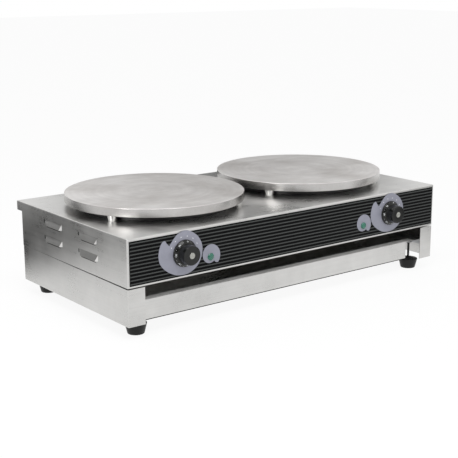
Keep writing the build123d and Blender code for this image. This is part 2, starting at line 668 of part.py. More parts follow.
def heating_element(side):
    """A tube wound as half turns about two centres, with both ends bent down through the pan."""
    (inner_x, inner_y), (outer_x, outer_y) = element_ends()
    low = Z_ELEMENT - ELEMENT_BEND
    diagonal = ELEMENT_BEND * math.sqrt(0.5)
    lead_in = ThreePointArc(
        (inner_x, inner_y, low),
        (inner_x, -diagonal, low + diagonal),
        (inner_x, 0, Z_ELEMENT),
    )
    path = [Line((inner_x, inner_y, low - ELEMENT_LEG), (inner_x, inner_y, low)), lead_in]
    x, radius = inner_x, ELEMENT_INNER_RADIUS
    for half_turn in range(ELEMENT_HALF_TURNS):
        way = 1 if half_turn % 2 == 0 else -1
        centre = x - way * radius
        across = centre - way * radius
        path.append(
            ThreePointArc((x, 0, Z_ELEMENT), (centre, way * radius, Z_ELEMENT), (across, 0, Z_ELEMENT))
        )
        x = across
        radius += ELEMENT_STEP
    path.append(
        ThreePointArc((outer_x, 0, Z_ELEMENT), (outer_x, diagonal, low + diagonal), (outer_x, outer_y, low))
    )
    path.append(Line((outer_x, outer_y, low), (outer_x, outer_y, low - ELEMENT_LEG)))
    wire = Wire(path)
    section = Plane(origin=wire @ 0, z_dir=wire % 0) * Circle(ELEMENT_RADIUS)
    return at_plate(sweep(section, path=wire), side)


def element_strap(side):
    outermost_turn = ELEMENT_INNER_RADIUS + ELEMENT_STEP * (ELEMENT_HALF_TURNS - 1)
    half = outermost_turn + ELEMENT_RADIUS + STRAP_OVERHANG
    strap = block(-STRAP_WIDTH / 2, STRAP_WIDTH / 2, -half, half, Z_STRAP - STRAP_THICKNESS, Z_STRAP)
    hole_radius = STRAP_SCREW_RADIUS + SCREW_CLEARANCE
    hole = upright(hole_radius, Z_STRAP - STRAP_THICKNESS - OVERCUT, Z_STRAP + OVERCUT)
    return at_plate(strap - hole, side)


def strap_screws():
    under = Z_STRAP - STRAP_THICKNESS
    screw = hexagon_bar(STRAP_SCREW_FLATS, under - STRAP_SCREW_HEAD, under)
    screw += upright(STRAP_SCREW_RADIUS, under, Z_STRAP + STRAP_SCREW_GRIP)
    return [at_plate(screw, side) for side in PLATE_X]


def sensor(side):
    """A thermostat's bulb under the plate, with its capillary down to the case."""
    z_bulb = Z_RECESS - ELEMENT_SEAT - SENSOR_RADIUS
    outwards = SIDE_SIGN[side]
    centre_x = PLATE_X[side] - outwards * SENSOR_SHIFT
    y = Y_PLATE - SENSOR_OFFSET
    start_x = centre_x + outwards * SENSOR_LENGTH / 2
    drop_x = PLATE_X[side] + capillary_x(side)
    z_run = Z_KNOB + CAPILLARY_RISE
    y_end = Y_FRONT + thermostat_back() + THERMOSTAT_DEPTH
    path = FilletPolyline(
        (start_x, y, z_bulb),
        (drop_x, y, z_bulb),
        (drop_x, y, z_run),
        (KNOB_X[side], y, z_run),
        (KNOB_X[side], y_end, z_run),
        radius=CAPILLARY_BEND,
    )
    section = Plane(origin=path @ 0, z_dir=path % 0) * Circle(CAPILLARY_RADIUS)
    bulb = Pos(centre_x, y, z_bulb) * Rot(0, 90, 0) * Cylinder(SENSOR_RADIUS, SENSOR_LENGTH)
    return bulb + sweep(section, path=path)


def plate_posts(side):
    post = turned([(0, Z_DECK), (POST_FOOT_RADIUS, Z_DECK), (POST_TOP_RADIUS, Z_PLATE), (0, Z_PLATE)])
    post -= upright(BOLT_RADIUS + BOLT_HOLE_CLEARANCE, Z_DECK - OVERCUT, Z_PLATE + OVERCUT)
    return [Pos(x, y, 0) * post for x, y in post_places(side)]


def plate_bolts():
    under = Z_DECK - HOUSING_SHEET
    bolt = hexagon_bar(BOLT_HEAD_FLATS, under - BOLT_HEAD_HEIGHT, under)
    bolt += upright(BOLT_RADIUS, under, Z_PLATE + BOLT_GRIP)
    return [Pos(x, y, 0) * bolt for side in PLATE_X for x, y in post_places(side)]


# ---------------------------------------------------------------- mains inlet
def cable_gland():
    outside = hexagon_bar(GLAND_FLATS, 0, GLAND_NUT)
    dome = turned(
        [
            (0, GLAND_NUT),
            (GLAND_DOME_RADIUS, GLAND_NUT),
            (GLAND_DOME_RADIUS, GLAND_NUT + GLAND_DOME / 2),
            (GLAND_MOUTH_RADIUS, GLAND_NUT + GLAND_DOME),
            (0, GLAND_NUT + GLAND_DOME),
        ]
    )
    inner_end = -HOUSING_SHEET - GLAND_NUT
    thread = upright(GLAND_THREAD_RADIUS, inner_end, 0)
    locknut = hexagon_bar(GLAND_LOCKNUT_FLATS, inner_end, -HOUSING_SHEET)
    gland = outside + dome + thread + locknut
    gland -= upright(GLAND_BORE_RADIUS, inner_end - OVERCUT, GLAND_NUT + GLAND_DOME + OVERCUT)
    return facing_rear(gland, GLAND_X, Z_SEAM + GLAND_RISE)


def terminal_block():
    length, depth, height = TERMINAL_BLOCK_SIZE
    floor = Z_SEAM + HOUSING_SHEET
    y = Y_REAR - TERMINAL_BLOCK_INSET
    x0 = GLAND_X - length / 2
    top = floor + height
    case = block(x0, x0 + length, y - depth / 2, y + depth / 2, floor, top)
    pitch = length / TERMINAL_WAYS
    for way in range(TERMINAL_WAYS):
        centre = x0 + pitch * (way + 0.5)
        case -= upright(TERMINAL_WAY_RADIUS, top - TERMINAL_WAY_DEPTH, top + OVERCUT, centre, y)
    return case


# ---------------------------------------------------------------- base
def base_side(side):
    """A side wall with front and rear posts folded in, and a top flange under the housing."""
    wall = HALF_WIDTH - BASE_SHEET
    posts = HALF_WIDTH - POST_FLANGE
    shape = block(wall, HALF_WIDTH, Y_FRONT, Y_REAR, Z_BASE, Z_SEAM)
    shape += block(posts, HALF_WIDTH, Y_FRONT, Y_FRONT + BASE_SHEET, Z_BASE, Z_SEAM)
    shape += block(posts, HALF_WIDTH, Y_REAR - BASE_SHEET, Y_REAR, Z_BASE, Z_SEAM)
    shape += block(HALF_WIDTH - TOP_FLANGE, HALF_WIDTH, Y_FRONT, Y_REAR, Z_SEAM - BASE_SHEET, Z_SEAM)
    corners = shape.edges().filter_by(Axis.Z).group_by(Axis.X)[-1]
    shape = fillet(corners, FOLD_RADIUS)
    if SIDE_SIGN[side] < 0:
        shape = mirror(shape, about=Plane.YZ)
    return shape - base_screw_holes(Z_SEAM - BASE_SHEET - OVERCUT, Z_SEAM + OVERCUT)


def base_rear_panel():
    half = HALF_WIDTH - POST_FLANGE + BASE_REAR_LAP
    flange_half = HALF_WIDTH - TOP_FLANGE - SHEET_FIT
    y1 = Y_REAR - BASE_SHEET
    panel = block(-half, half, Y_BASE_REAR, y1, Z_BASE, Z_SEAM - BASE_SHEET)
    panel += block(
        -flange_half, flange_half, y1 - COVER_FLANGE, y1, Z_SEAM - BASE_SHEET, Z_SEAM
    )
    return panel


def drawer_rail(side):
    """An angle on the side wall: its shelf carries the drawer's rim and the foot studs."""
    wall = HALF_WIDTH - BASE_SHEET
    shelf_edge = DRAWER_HALF + DRAWER_RAIL_CLEARANCE
    y0 = Y_FRONT + BASE_SHEET
    shape = block(shelf_edge, wall, y0, Y_BASE_REAR, Z_RAIL - BASE_SHEET, Z_RAIL)
    shape += block(wall - BASE_SHEET, wall, y0, Y_BASE_REAR, Z_RAIL - RAIL_DROP, Z_RAIL)
    if SIDE_SIGN[side] < 0:
        shape = mirror(shape, about=Plane.YZ)
    hole = STUD_RADIUS + STUD_HOLE_CLEARANCE
    for y in FOOT_Y.values():
        shape -= upright(hole, Z_RAIL - BASE_SHEET - OVERCUT, Z_RAIL + OVERCUT, FOOT_X[side], y)
    return shape


def foot_nuts():
    under = Z_RAIL - BASE_SHEET
    nut = hexagon_bar(NUT_FLATS, under - NUT_HEIGHT, under)
    nut -= upright(STUD_RADIUS + NUT_CLEARANCE, under - NUT_HEIGHT - OVERCUT, under + OVERCUT)
    return [Pos(x, y, 0) * nut for x in FOOT_X.values() for y in FOOT_Y.values()]


# ---------------------------------------------------------------- drawer
def drawer_front():
    """The face, its hem at the bottom and the lip folded back at the top."""
    face = block(-DRAWER_HALF, DRAWER_HALF, Y_DRAWER, Y_DRAWER + DRAWER_SHEET, Z_DRAWER, Z_RIM_TOP)
    face += block(-DRAWER_REACH, DRAWER_REACH, Y_DRAWER, Y_DRAWER + DRAWER_LIP, Z_RIM, Z_RIM_TOP)
    face += block(
        -DRAWER_HALF, DRAWER_HALF, Y_DRAWER, Y_DRAWER + DRAWER_HEM, Z_DRAWER, Z_DRAWER + DRAWER_SHEET
    )
    return face


def drawer_pan():
    wall = DRAWER_SHEET
    low = Z_DRAWER + DRAWER_SHEET
    y0 = Y_DRAWER + DRAWER_SHEET
    pan = block(-DRAWER_HALF, DRAWER_HALF, y0, Y_DRAWER_REAR, low, Z_RIM)
    pan = fillet(pan.edges().filter_by(Axis.Z), DRAWER_CORNER)
    hollow = block(wall - DRAWER_HALF, DRAWER_HALF - wall, y0 + wall, Y_DRAWER_REAR - wall, low + wall, Z_RIM)
    hollow = fillet(hollow.edges().filter_by(Axis.Z), DRAWER_CORNER - wall)
    pan -= hollow
    rim_front = Y_DRAWER + DRAWER_LIP
    for sign in (-1, 1):
        inner, outer = sorted((sign * (DRAWER_HALF - wall), sign * DRAWER_REACH))
        pan += block(inner, outer, rim_front, Y_DRAWER_REAR - DRAWER_CORNER, Z_RIM, Z_RIM_TOP)
    return pan


# ---------------------------------------------------------------- feet
def foot_pad(x, y):
    pad = turned([(0, 0), (PAD_FLOOR_RADIUS, 0), (PAD_RADIUS, PAD_HEIGHT), (0, PAD_HEIGHT)])
    pad = fillet(pad.edges().filter_by(GeomType.CIRCLE), PAD_ROUND)
    cone_top = PAD_HEIGHT + PAD_CONE_HEIGHT
    pad += turned(
        [(0, PAD_HEIGHT), (PAD_CONE_RADIUS, PAD_HEIGHT), (PAD_CONE_TOP_RADIUS, cone_top), (0, cone_top)]
    )
    pad -= upright(STUD_RADIUS, cone_top - STUD_BURIED, cone_top + OVERCUT)
    return Pos(x, y, 0) * pad


def foot_stud(x, y):
    cone_top = PAD_HEIGHT + PAD_CONE_HEIGHT
    return upright(STUD_RADIUS, cone_top - STUD_BURIED, Z_RAIL - STUD_BELOW_RAIL_TOP, x, y)


# ---------------------------------------------------------------- all pieces
def pieces():
    """Every node's name and its shape."""
    named = {
        "upper_housing": upper_housing(),
        "rear_panel": rear_panel(),
        "rear_screws": rear_screws(),
        "bottom_cover": bottom_cover(),
        "base_screws": base_screws(),
        "control_fascia": control_fascia(),
        "plate_bolts": plate_bolts(),
        "strap_screws": strap_screws(),
        "cable_gland": cable_gland(),
        "terminal_block": terminal_block(),
        "base_rear_panel": base_rear_panel(),
        "foot_nuts": foot_nuts(),
        "drawer_front": drawer_front(),
        "drawer_pan": drawer_pan(),
    }
    for side in ("left", "right"):
        named[f"dial_plate_{side}"] = dial_plate(side)
        named[f"lamp_plate_{side}"] = lamp_plate(side)
        named[f"knob_{side}"] = knob(side)
        named[f"knob_cap_{side}"] = knob_cap(side)
        named[f"thermostat_{side}"] = thermostat(side)
        named[f"thermostat_shaft_{side}"] = thermostat_shaft(side)
        named[f"sensor_{side}"] = sensor(side)
        named[f"lamp_lens_{side}"] = lamp_lens(side)
        named[f"lamp_body_{side}"] = lamp_body(side)
        named[f"cooking_plate_{side}"] = cooking_plate(side)
        named[f"heater_pan_{side}"] = heater_pan(side)
        named[f"insulation_{side}"] = insulation(side)
        named[f"heating_element_{side}"] = heating_element(side)
        named[f"element_strap_{side}"] = element_strap(side)
        named[f"plate_posts_{side}"] = plate_posts(side)
        named[f"base_side_{side}"] = base_side(side)
        named[f"drawer_rail_{side}"] = drawer_rail(side)
        for end in ("front", "rear"):
            named[f"foot_pad_{end}_{side}"] = foot_pad(FOOT_X[side], FOOT_Y[end])
            named[f"foot_stud_{end}_{side}"] = foot_stud(FOOT_X[side], FOOT_Y[end])
    return named


os.makedirs("parts", exist_ok=True)
for node, shape in pieces().items():
    whole = Compound(children=list(shape)) if isinstance(shape, list) else shape
    export_step(whole, f"parts/{node}.step")
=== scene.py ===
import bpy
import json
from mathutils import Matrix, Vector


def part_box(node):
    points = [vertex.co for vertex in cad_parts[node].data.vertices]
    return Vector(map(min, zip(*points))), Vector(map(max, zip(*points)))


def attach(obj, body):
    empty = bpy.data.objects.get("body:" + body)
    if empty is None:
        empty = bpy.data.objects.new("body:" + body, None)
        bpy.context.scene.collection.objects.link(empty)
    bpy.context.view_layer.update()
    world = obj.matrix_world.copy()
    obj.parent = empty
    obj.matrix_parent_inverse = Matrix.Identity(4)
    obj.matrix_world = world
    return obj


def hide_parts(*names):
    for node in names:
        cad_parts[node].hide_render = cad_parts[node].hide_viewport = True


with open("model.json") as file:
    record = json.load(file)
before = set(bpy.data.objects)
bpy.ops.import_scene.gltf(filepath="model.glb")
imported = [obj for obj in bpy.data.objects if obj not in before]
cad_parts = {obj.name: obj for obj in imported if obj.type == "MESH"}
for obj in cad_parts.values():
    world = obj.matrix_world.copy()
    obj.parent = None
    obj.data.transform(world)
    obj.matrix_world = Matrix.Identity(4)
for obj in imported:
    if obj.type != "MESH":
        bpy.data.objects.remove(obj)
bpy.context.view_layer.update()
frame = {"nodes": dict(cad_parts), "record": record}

import json
import math
from itertools import product

import bmesh
import bpy
from mathutils import Matrix, Vector
from mathutils.geometry import interpolate_bezier

bl_info = {
    "name": "Double crepe maker",
    "version": (1, 0, 0),
    "blender": (4, 5, 0),
    "location": "View3D > Sidebar > Crepe maker",
    "description": "Dresses the frame of an electric crepe maker with its finishes and fine pieces",
    "category": "Object",
}

SIDES = ("left", "right")
ENDS = ("front", "rear")
MM = 0.001


# ---------------------------------------------------------------- places read from the frame
def centre_of(node):
    low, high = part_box(node)
    return (low + high) / 2


def size_of(node):
    low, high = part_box(node)
    return high - low


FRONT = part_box("control_fascia")[1].y
REAR_SHEET = 1.2 * MM
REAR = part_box("rear_panel")[0].y + REAR_SHEET
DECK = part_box("upper_housing")[1].z
HOUSING_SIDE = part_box("base_side_right")[1].x
PLATE_LOW, PLATE_HIGH = (corner.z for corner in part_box("cooking_plate_left"))
FASCIA_LOW, FASCIA_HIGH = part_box("control_fascia")

# the sides' louvres: from the housing's middle to a hood's middle, and the hoods' lower edges
LOUVRE_COLUMN = 73.5 * MM
LOUVRE_ROWS = (140 * MM, 176 * MM)
# a louvre's painted shade, dark slabs at the hood's rear end and under its lower edge: how far beyond the
# hood's middle and above its lower edge, then depth and height
LOUVRE_PAINTED_SHADE = ((40.5 * MM, 8 * MM, 3 * MM, 8 * MM), (2 * MM, -3.4 * MM, 58 * MM, 1.2 * MM))

# edge of a dial plate as (degrees, millimetres from the shaft), clockwise from the notch to the hook's tip
DIAL_EDGE = (
    (152, 43.3), (144, 42.4), (128, 43.2), (112, 45.2), (90, 47.2), (72, 45.7), (58, 44.7), (41, 44.6),
    (20, 44.4), (0, 43.9), (-20, 43.6), (-40, 43.7), (-58, 43.9), (-75, 44.3), (-90, 44.9), (-104, 46.0),
    (-120, 48.6), (-135, 51.7), (-148, 55.6), (-160, 60.0), (-170, 63.0), (-180, 64.4), (-190, 64.6),
    (-200, 64.3), (-207, 63.4), (-211, 61.6), (-213.6, 59.0), (-213.4, 56.4), (-211, 51.5), (-208, 43.3),
)


# ---------------------------------------------------------------- settings
def length(name, description, default):
    return bpy.props.FloatProperty(name=name, description=description, default=default, unit="LENGTH")


def angle(name, description, degrees):
    return bpy.props.FloatProperty(
        name=name, description=description, default=math.radians(degrees), subtype="ANGLE"
    )


def colour(name, description, *default):
    return bpy.props.FloatVectorProperty(
        name=name, description=description, default=default, subtype="COLOR", size=3, min=0, max=1
    )


def share(name, description, default):
    return bpy.props.FloatProperty(
        name=name, description=description, default=default, subtype="FACTOR", min=0, max=1
    )


def number(name, description, default):
    return bpy.props.IntProperty(name=name, description=description, default=default, min=1)


class CREPE_PG_sheet(bpy.types.PropertyGroup):
    steel: colour("Stainless steel", "Tint of the brushed sheet", 0.74, 0.735, 0.72)
    steel_roughness: share("Steel roughness", "How far the brushing blurs a reflection", 0.26)
    zinc: colour("Zinc", "Tint of plated small parts", 0.5, 0.51, 0.53)
    fold: length("Rounding", "Radius left on cut and folded edges", 0.35 * MM)
    face_fold: length("Face rounding", "Radius left on the edges of the drawer's face", 0.6 * MM)
    nut_fold: length("Nut rounding", "Radius left on the edges of the nuts", 0.3 * MM)
    seam: length("Seam", "How much lower the base's top lies at the front, which opens the joint", 2.4 * MM)
    drawer_back: length("Drawer depth", "How far the closed drawer's face sits further in", 9.0 * MM)
    drawer_half: length("Drawer half width", "From the middle to the side of the drawer's box", 377 * MM)
    drawer_wider: length("Face overlap", "How far the drawer's face passes its box on the left", 13 * MM)
    drawer_narrower: length("Right gap", "How much the drawer is cut back on the right", 7 * MM)
    rail_back: length("Rail depth", "How far the rails' front ends lie further in", 20 * MM)
    drawer_down: length("Drawer drop", "How far the drawer hangs lower on its rails", 2.2 * MM)
    # the hem line and the dark marks are painted shade, laid on the sheet as thin dark slabs
    hem_height: length("Hem line", "Height of the dark line along the drawer's hem", 1.6 * MM)
    hem_up: length("Hem place", "From the face's lower edge up to the middle of that line", 0.7 * MM)
    mark: length("Mark thickness", "Thickness of the dark marks on the sheet", 0.3 * MM)


class CREPE_PG_plates(bpy.types.PropertyGroup):
    iron: colour("Machined iron", "Tint of the turned cooking face", 0.69, 0.675, 0.665)
    iron_roughness: share("Iron roughness", "Blur of the turned face", 0.5)
    edge: colour("Turned edge", "Tint of the plate's rim and underside", 0.56, 0.55, 0.54)
    edge_roughness: share("Edge roughness", "Blur of the rim", 0.24)
    rim_round: length("Rim rounding", "Rounding of the upper rim", 1.5 * MM)
    foot_chamfer: length("Lower chamfer", "Chamfer of the lower rim", 1.0 * MM)
    recess_radius: length("Recess radius", "Hollow under the plate for the element", 164 * MM)
    recess_depth: length("Recess depth", "Depth of that hollow", 8 * MM)
    recess_round: length("Recess rounding", "Rounding of that hollow's corners", 0.5 * MM)
    segments: number("Segments", "Facets round a plate", 192)


class CREPE_PG_pans(bpy.types.PropertyGroup):
    enamel: colour("Enamel", "Colour of the heater pans", 0.012, 0.012, 0.013)
    sheet: length("Sheet", "Wall of a pan", 1.0 * MM)
    dish_radius: length("Dish radius", "Radius of the part below the deck", 158 * MM)
    bend: length("Bend", "Pressed radius at the corners", 0.9 * MM)


class CREPE_PG_posts(bpy.types.PropertyGroup):
    steel: colour("Bright steel", "Tint of the turned posts", 0.82, 0.815, 0.80)
    top_radius: length("Top radius", "Radius under the plate", 12 * MM)
    foot_radius: length("Foot radius", "Radius on the deck", 10 * MM)
    bore_radius: length("Bore radius", "Clearance hole of the bolt", 4.5 * MM)
    rounding: length("Rounding", "Rounding of a post's edges", 0.6 * MM)
    circle_radius: length("Circle", "Radius of the circle that the posts stand on", 186 * MM)
    first_angle: angle("First angle", "Place of the first post on its circle", 208)
    count: number("Count", "Posts under one plate", 3)


class CREPE_PG_panel(bpy.types.PropertyGroup):
    black: colour("Panel black", "Ground colour of the control panel", 0.003, 0.003, 0.0035)
    rib: colour("Rib grey", "Colour of the raised ribs", 0.06, 0.064, 0.062)
    thickness: length("Thickness", "Panel without its ribs", 1.2 * MM)
    rib_count: number("Ribs", "Ribs across the height", 12)
    rib_pitch: length("Rib pitch", "Distance between ribs", 7.5 * MM)
    rib_width: length("Rib width", "Width of a rib", 2.6 * MM)
    rib_height: length("Rib height", "How far a rib stands proud", 0.5 * MM)
    hole_radius: length("Hole radius", "Openings for shafts and lamps", 5 * MM)


class CREPE_PG_controls(bpy.types.PropertyGroup):
    black: colour("Knob black", "Colour of the knobs", 0.006, 0.0065, 0.006)
    neck_radius: length("Neck radius", "Where the skirt's cone meets the grip", 23.2 * MM)
    grip_radius: length("Grip radius", "Radius of the grip at the skirt", 20.8 * MM)
    face_radius: length("Face radius", "Radius of the grip's front", 20.2 * MM)
    dial: colour("Dial grey", "Colour of the spiral plates", 0.27, 0.275, 0.33)
    print_white: colour("Marks", "Colour of printed marks", 0.8, 0.82, 0.84)
    print_thickness: length("Print thickness", "How far the print stands proud", 0.05 * MM)
    cap: colour("Cap", "Tint of the slotted disc", 0.42, 0.42, 0.39)
    green: colour("Lens green", "Colour of the signal lamps", 0.02, 0.3, 0.19)
    number_height: length("Numeral height", "Height of the skirt's numerals", 3.4 * MM)
    number_radius: length("Numeral radius", "Circle that the numerals' middles stand on", 25.0 * MM)
    tick_radius: length("Stroke radius", "Circle of the strokes between the numerals", 26.0 * MM)
    first_number: angle("First numeral", "Where the zero stands on the skirt", 82)
    turn: angle("Turn", "Sweep of the numerals from zero to full heat", 294)
    lens_radius: length("Lens radius", "Radius of a signal lamp's lens", 7.8 * MM)
    lens_flange: length("Lens flange", "Thickness of the lens's flange", 1.0 * MM)
    lens_shift: length("Lens shift", "How far a lens sits left of its hole", 2.5 * MM)
    dial_shift: length("Dial shift", "How far a dial plate sits beside its shaft", 1.3 * MM)
    dial_hole: length("Dial hole", "Radius of the hole that the shaft passes", 6 * MM)
    scale_radius: length("Scale radius", "Circle of the marks on a dial plate", 35.2 * MM)
    scale_start: angle("Scale start", "Place of the first mark on a dial plate", 27)
    scale_end: angle("Scale end", "Place of the last mark on a dial plate", 154)
    scale_count: number("Scale marks", "Marks on a dial plate", 6)


class CREPE_PG_feet(bpy.types.PropertyGroup):
    rubber: colour("Rubber", "Colour of the moulded feet", 0.012, 0.012, 0.0115)
    floor_radius: length("Floor radius", "Radius on the worktop", 17.5 * MM)
    pad_radius: length("Pad radius", "Radius at the shoulder", 23 * MM)
    pad_height: length("Pad height", "Height of the shoulder", 22.5 * MM)
    pad_round: length("Pad rounding", "Rounding of the pad's edges", 1.4 * MM)
    cone_radius: length("Cone radius", "Foot of the collar round the stud", 19.5 * MM)
    collar_radius: length("Collar radius", "Top of that collar", 4.5 * MM)
    cone_height: length("Cone height", "Height of the collar", 4.5 * MM)
    stud_radius: length("Stud radius", "Over the thread", 3 * MM)
    stud_chamfer: length("Stud chamfer", "Chamfer at the stud's top", 0.4 * MM)
    stud_buried: length("Buried stud", "Stud inside the pad", 14 * MM)
    thread_pitch: length("Thread pitch", "Rise of the thread in one turn", 1.25 * MM)
    thread_ridge: length("Thread ridge", "How far the thread stands out", 0.36 * MM)
    thread_end: length("Thread end", "Plain stud at either end of the thread", 1 * MM)


class CREPE_PG_stage(bpy.types.PropertyGroup):
    floor: colour("Floor", "Colour of the floor", 0.9, 0.9, 0.9)
    shadow: share("Shadow", "How much of the floor's own shading shows", 0.1)
    sky: bpy.props.FloatProperty(name="Sky", description="Strength of the soft light", default=0.75)
    key: bpy.props.FloatProperty(name="Key", description="Overhead lamp in watts", default=26.0)
    side: bpy.props.FloatProperty(name="Side", description="Side lamp in watts", default=9.0)


class CREPE_PG_all(bpy.types.PropertyGroup):
    sheet: bpy.props.PointerProperty(name="Sheet", description="Sheet metal", type=CREPE_PG_sheet)
    plates: bpy.props.PointerProperty(name="Plates", description="Cooking plates", type=CREPE_PG_plates)
    pans: bpy.props.PointerProperty(name="Pans", description="Heater pans", type=CREPE_PG_pans)
    posts: bpy.props.PointerProperty(name="Posts", description="Plate posts", type=CREPE_PG_posts)
    panel: bpy.props.PointerProperty(name="Panel", description="Control panel", type=CREPE_PG_panel)
    controls: bpy.props.PointerProperty(name="Controls", description="Controls", type=CREPE_PG_controls)
    feet: bpy.props.PointerProperty(name="Feet", description="Screwed feet", type=CREPE_PG_feet)
    stage: bpy.props.PointerProperty(name="Stage", description="Floor and lamps", type=CREPE_PG_stage)


def settings():
    return bpy.context.scene.crepe_maker


# ---------------------------------------------------------------- node trees
def node(tree, kind, inputs=None, **choices):
    """Adds a node; an input is given by name or index, as a value or as the socket that feeds it."""
    made = tree.nodes.new(kind)
    for key, value in choices.items():
        setattr(made, key, value)
    for key, value in (inputs or {}).items():
        if isinstance(value, bpy.types.NodeSocket):
            tree.links.new(value, made.inputs[key])
        else:
            made.inputs[key].default_value = value
    return made


def math_node(tree, operation, *values, clamp=False):
    made = node(tree, "ShaderNodeMath", dict(enumerate(values)), operation=operation, use_clamp=clamp)
    return made.outputs[0]


def vector_math(tree, operation, *values):
    return node(tree, "ShaderNodeVectorMath", dict(enumerate(values)), operation=operation).outputs


def vector_node(tree, x, y, z):
    return node(tree, "ShaderNodeCombineXYZ", {"X": x, "Y": y, "Z": z}).outputs[0]


def ramp(tree, factor, low, high):
    """A number that runs from low to high as the factor goes from 0 to 1."""
    made = node(tree, "ShaderNodeMapRange", {"Value": factor, "To Min": low, "To Max": high})
    return made.outputs["Result"]


def blend_colours(tree, factor, first, second):
    made = node(tree, "ShaderNodeMix", {"Factor": factor}, data_type="RGBA")
    for index, value in ((6, first), (7, second)):
        if isinstance(value, bpy.types.NodeSocket):
            tree.links.new(value, made.inputs[index])
        else:
            made.inputs[index].default_value = (*value, 1)
    return made.outputs[2]


def tinted(tone, factor):
    return tuple(min(1.0, channel * factor) for channel in tone)


def tinted_node(tree, tone, factor):
    """The same as tinted, for a colour that comes from a node."""
    scaled = node(tree, "ShaderNodeVectorMath", {0: tone, "Scale": factor}, operation="SCALE")
    return scaled.outputs[0]


def blank_material(name):
    """A material without nodes and its tree."""
    material = bpy.data.materials.new(name)
    material.use_nodes = True
    material.node_tree.nodes.clear()
    return material, material.node_tree


def shown_by(tree, shader, kind="ShaderNodeOutputMaterial"):
    tree.links.new(shader, node(tree, kind).inputs["Surface"])


# ---------------------------------------------------------------- finishes
class Finish:
    """A procedural material: a principled surface and the patterns on its object coordinates."""

    def __init__(self, name, **fixed):
        self.material, self.tree = blank_material(name)
        self.surface = node(self.tree, "ShaderNodeBsdfPrincipled", fixed)
        shown_by(self.tree, self.surface.outputs[0])
        self.place = node(self.tree, "ShaderNodeTexCoord").outputs["Object"]

    def grain(self, scale, detail=2.0, roughness=0.5):
        """Noise on object coordinates; scale is a number, or one for each axis, in cycles a metre."""
        scale = (scale,) * 3 if isinstance(scale, (int, float)) else scale
        mapped = node(self.tree, "ShaderNodeMapping", {"Vector": self.place, "Scale": scale})
        noise = {"Vector": mapped.outputs[0], "Scale": 1.0, "Detail": detail, "Roughness": roughness}
        return node(self.tree, "ShaderNodeTexNoise", noise).outputs[0]

    def rings(self, centre, scale, detail=3.0):
        """Noise that only changes with the distance from a vertical line, as turning marks do."""
        away = vector_math(self.tree, "SUBTRACT", self.place, centre)[0]
        flat = vector_math(self.tree, "MULTIPLY", away, (1, 1, 0))[0]
        radius = vector_math(self.tree, "LENGTH", flat)["Value"]
        noise = {"W": radius, "Scale": scale, "Detail": detail}
        return node(self.tree, "ShaderNodeTexNoise", noise, noise_dimensions="1D").outputs[0]

    def feed(self, socket, value):
        self.tree.links.new(value, self.surface.inputs[socket])

    def colours(self, factor, first, second):
        self.feed("Base Color", blend_colours(self.tree, factor, first, second))

    def mottled(self, factor, tone, darkest, lightest):
        """The tone, darker and lighter by these shares as the factor goes from 0 to 1."""
        self.colours(factor, tinted(tone, darkest), tinted(tone, lightest))

    def blurred(self, factor, low, high):
        self.feed("Roughness", ramp(self.tree, factor, low, high))

    def relief(self, height, strength, depth):
        values = {"Height": height, "Strength": strength, "Distance": depth}
        if self.surface.inputs["Normal"].is_linked:
            values["Normal"] = self.surface.inputs["Normal"].links[0].from_socket
        self.feed("Normal", node(self.tree, "ShaderNodeBump", values).outputs[0])


def brushed_steel(name, tone, along, roughness):
    """Sheet with fine lines along one axis, soft clouds and faint wipe marks."""
    finish = Finish(name, Metallic=1.0, Anisotropic=0.6)
    tree = finish.tree
    across = (0, 1, 1) if along == "x" else (0, 0, 1)
    finish.feed("Tangent", vector_node(tree, *across))
    line = tuple(5.0 if axis == along else 1500.0 for axis in "xyz")
    streak = tuple(1.2 if axis == along else 160.0 for axis in "xyz")
    lines = finish.grain(line, detail=3.0, roughness=0.65)
    streaks = finish.grain(streak, detail=2.0)
    clouds = finish.grain(11.0, detail=4.0, roughness=0.6)
    mixed = math_node(tree, "MULTIPLY_ADD", lines, 0.6, math_node(tree, "MULTIPLY", streaks, 0.4))
    brushed = blend_colours(tree, mixed, tinted(tone, 0.84), tinted(tone, 1.14))
    finish.colours(ramp(tree, clouds, -0.7, 1.3), tinted_node(tree, brushed, 0.8), brushed)
    worn = math_node(tree, "MULTIPLY_ADD", clouds, 0.2, ramp(tree, mixed, -0.14, 0.02))
    finish.feed("Roughness", math_node(tree, "ADD", worn, roughness, clamp=True))
    finish.relief(lines, 0.15, 0.03 * MM)
    return finish.material


def turned_iron(name, tone, roughness, centre):
    """Cooking face with turning rings, a paler cleaned zone and a trace of seasoning."""
    finish = Finish(name, Metallic=1.0)
    tree = finish.tree
    fine = finish.rings(centre, 900.0)
    broad = finish.rings(centre, 60.0, detail=2.0)
    wiped = finish.grain((4.0, 34.0, 34.0), detail=5.0, roughness=0.65)
    clouds = finish.grain(7.5, detail=5.0, roughness=0.6)
    marks = math_node(tree, "MULTIPLY_ADD", fine, 0.3, math_node(tree, "MULTIPLY", broad, 0.35))
    marks = math_node(tree, "MULTIPLY_ADD", wiped, 0.35, marks)
    turned_face = blend_colours(tree, marks, tinted(tone, 0.6), tinted(tone, 1.4))
    seasoned = tuple(channel * factor for channel, factor in zip(tone, (0.62, 0.6, 0.58)))
    finish.colours(ramp(tree, clouds, -0.75, 1.35), turned_face, seasoned)
    finish.blurred(marks, roughness - 0.08, roughness + 0.1)
    finish.relief(fine, 0.3, 0.05 * MM)
    finish.relief(clouds, 0.1, 0.4 * MM)
    return finish.material


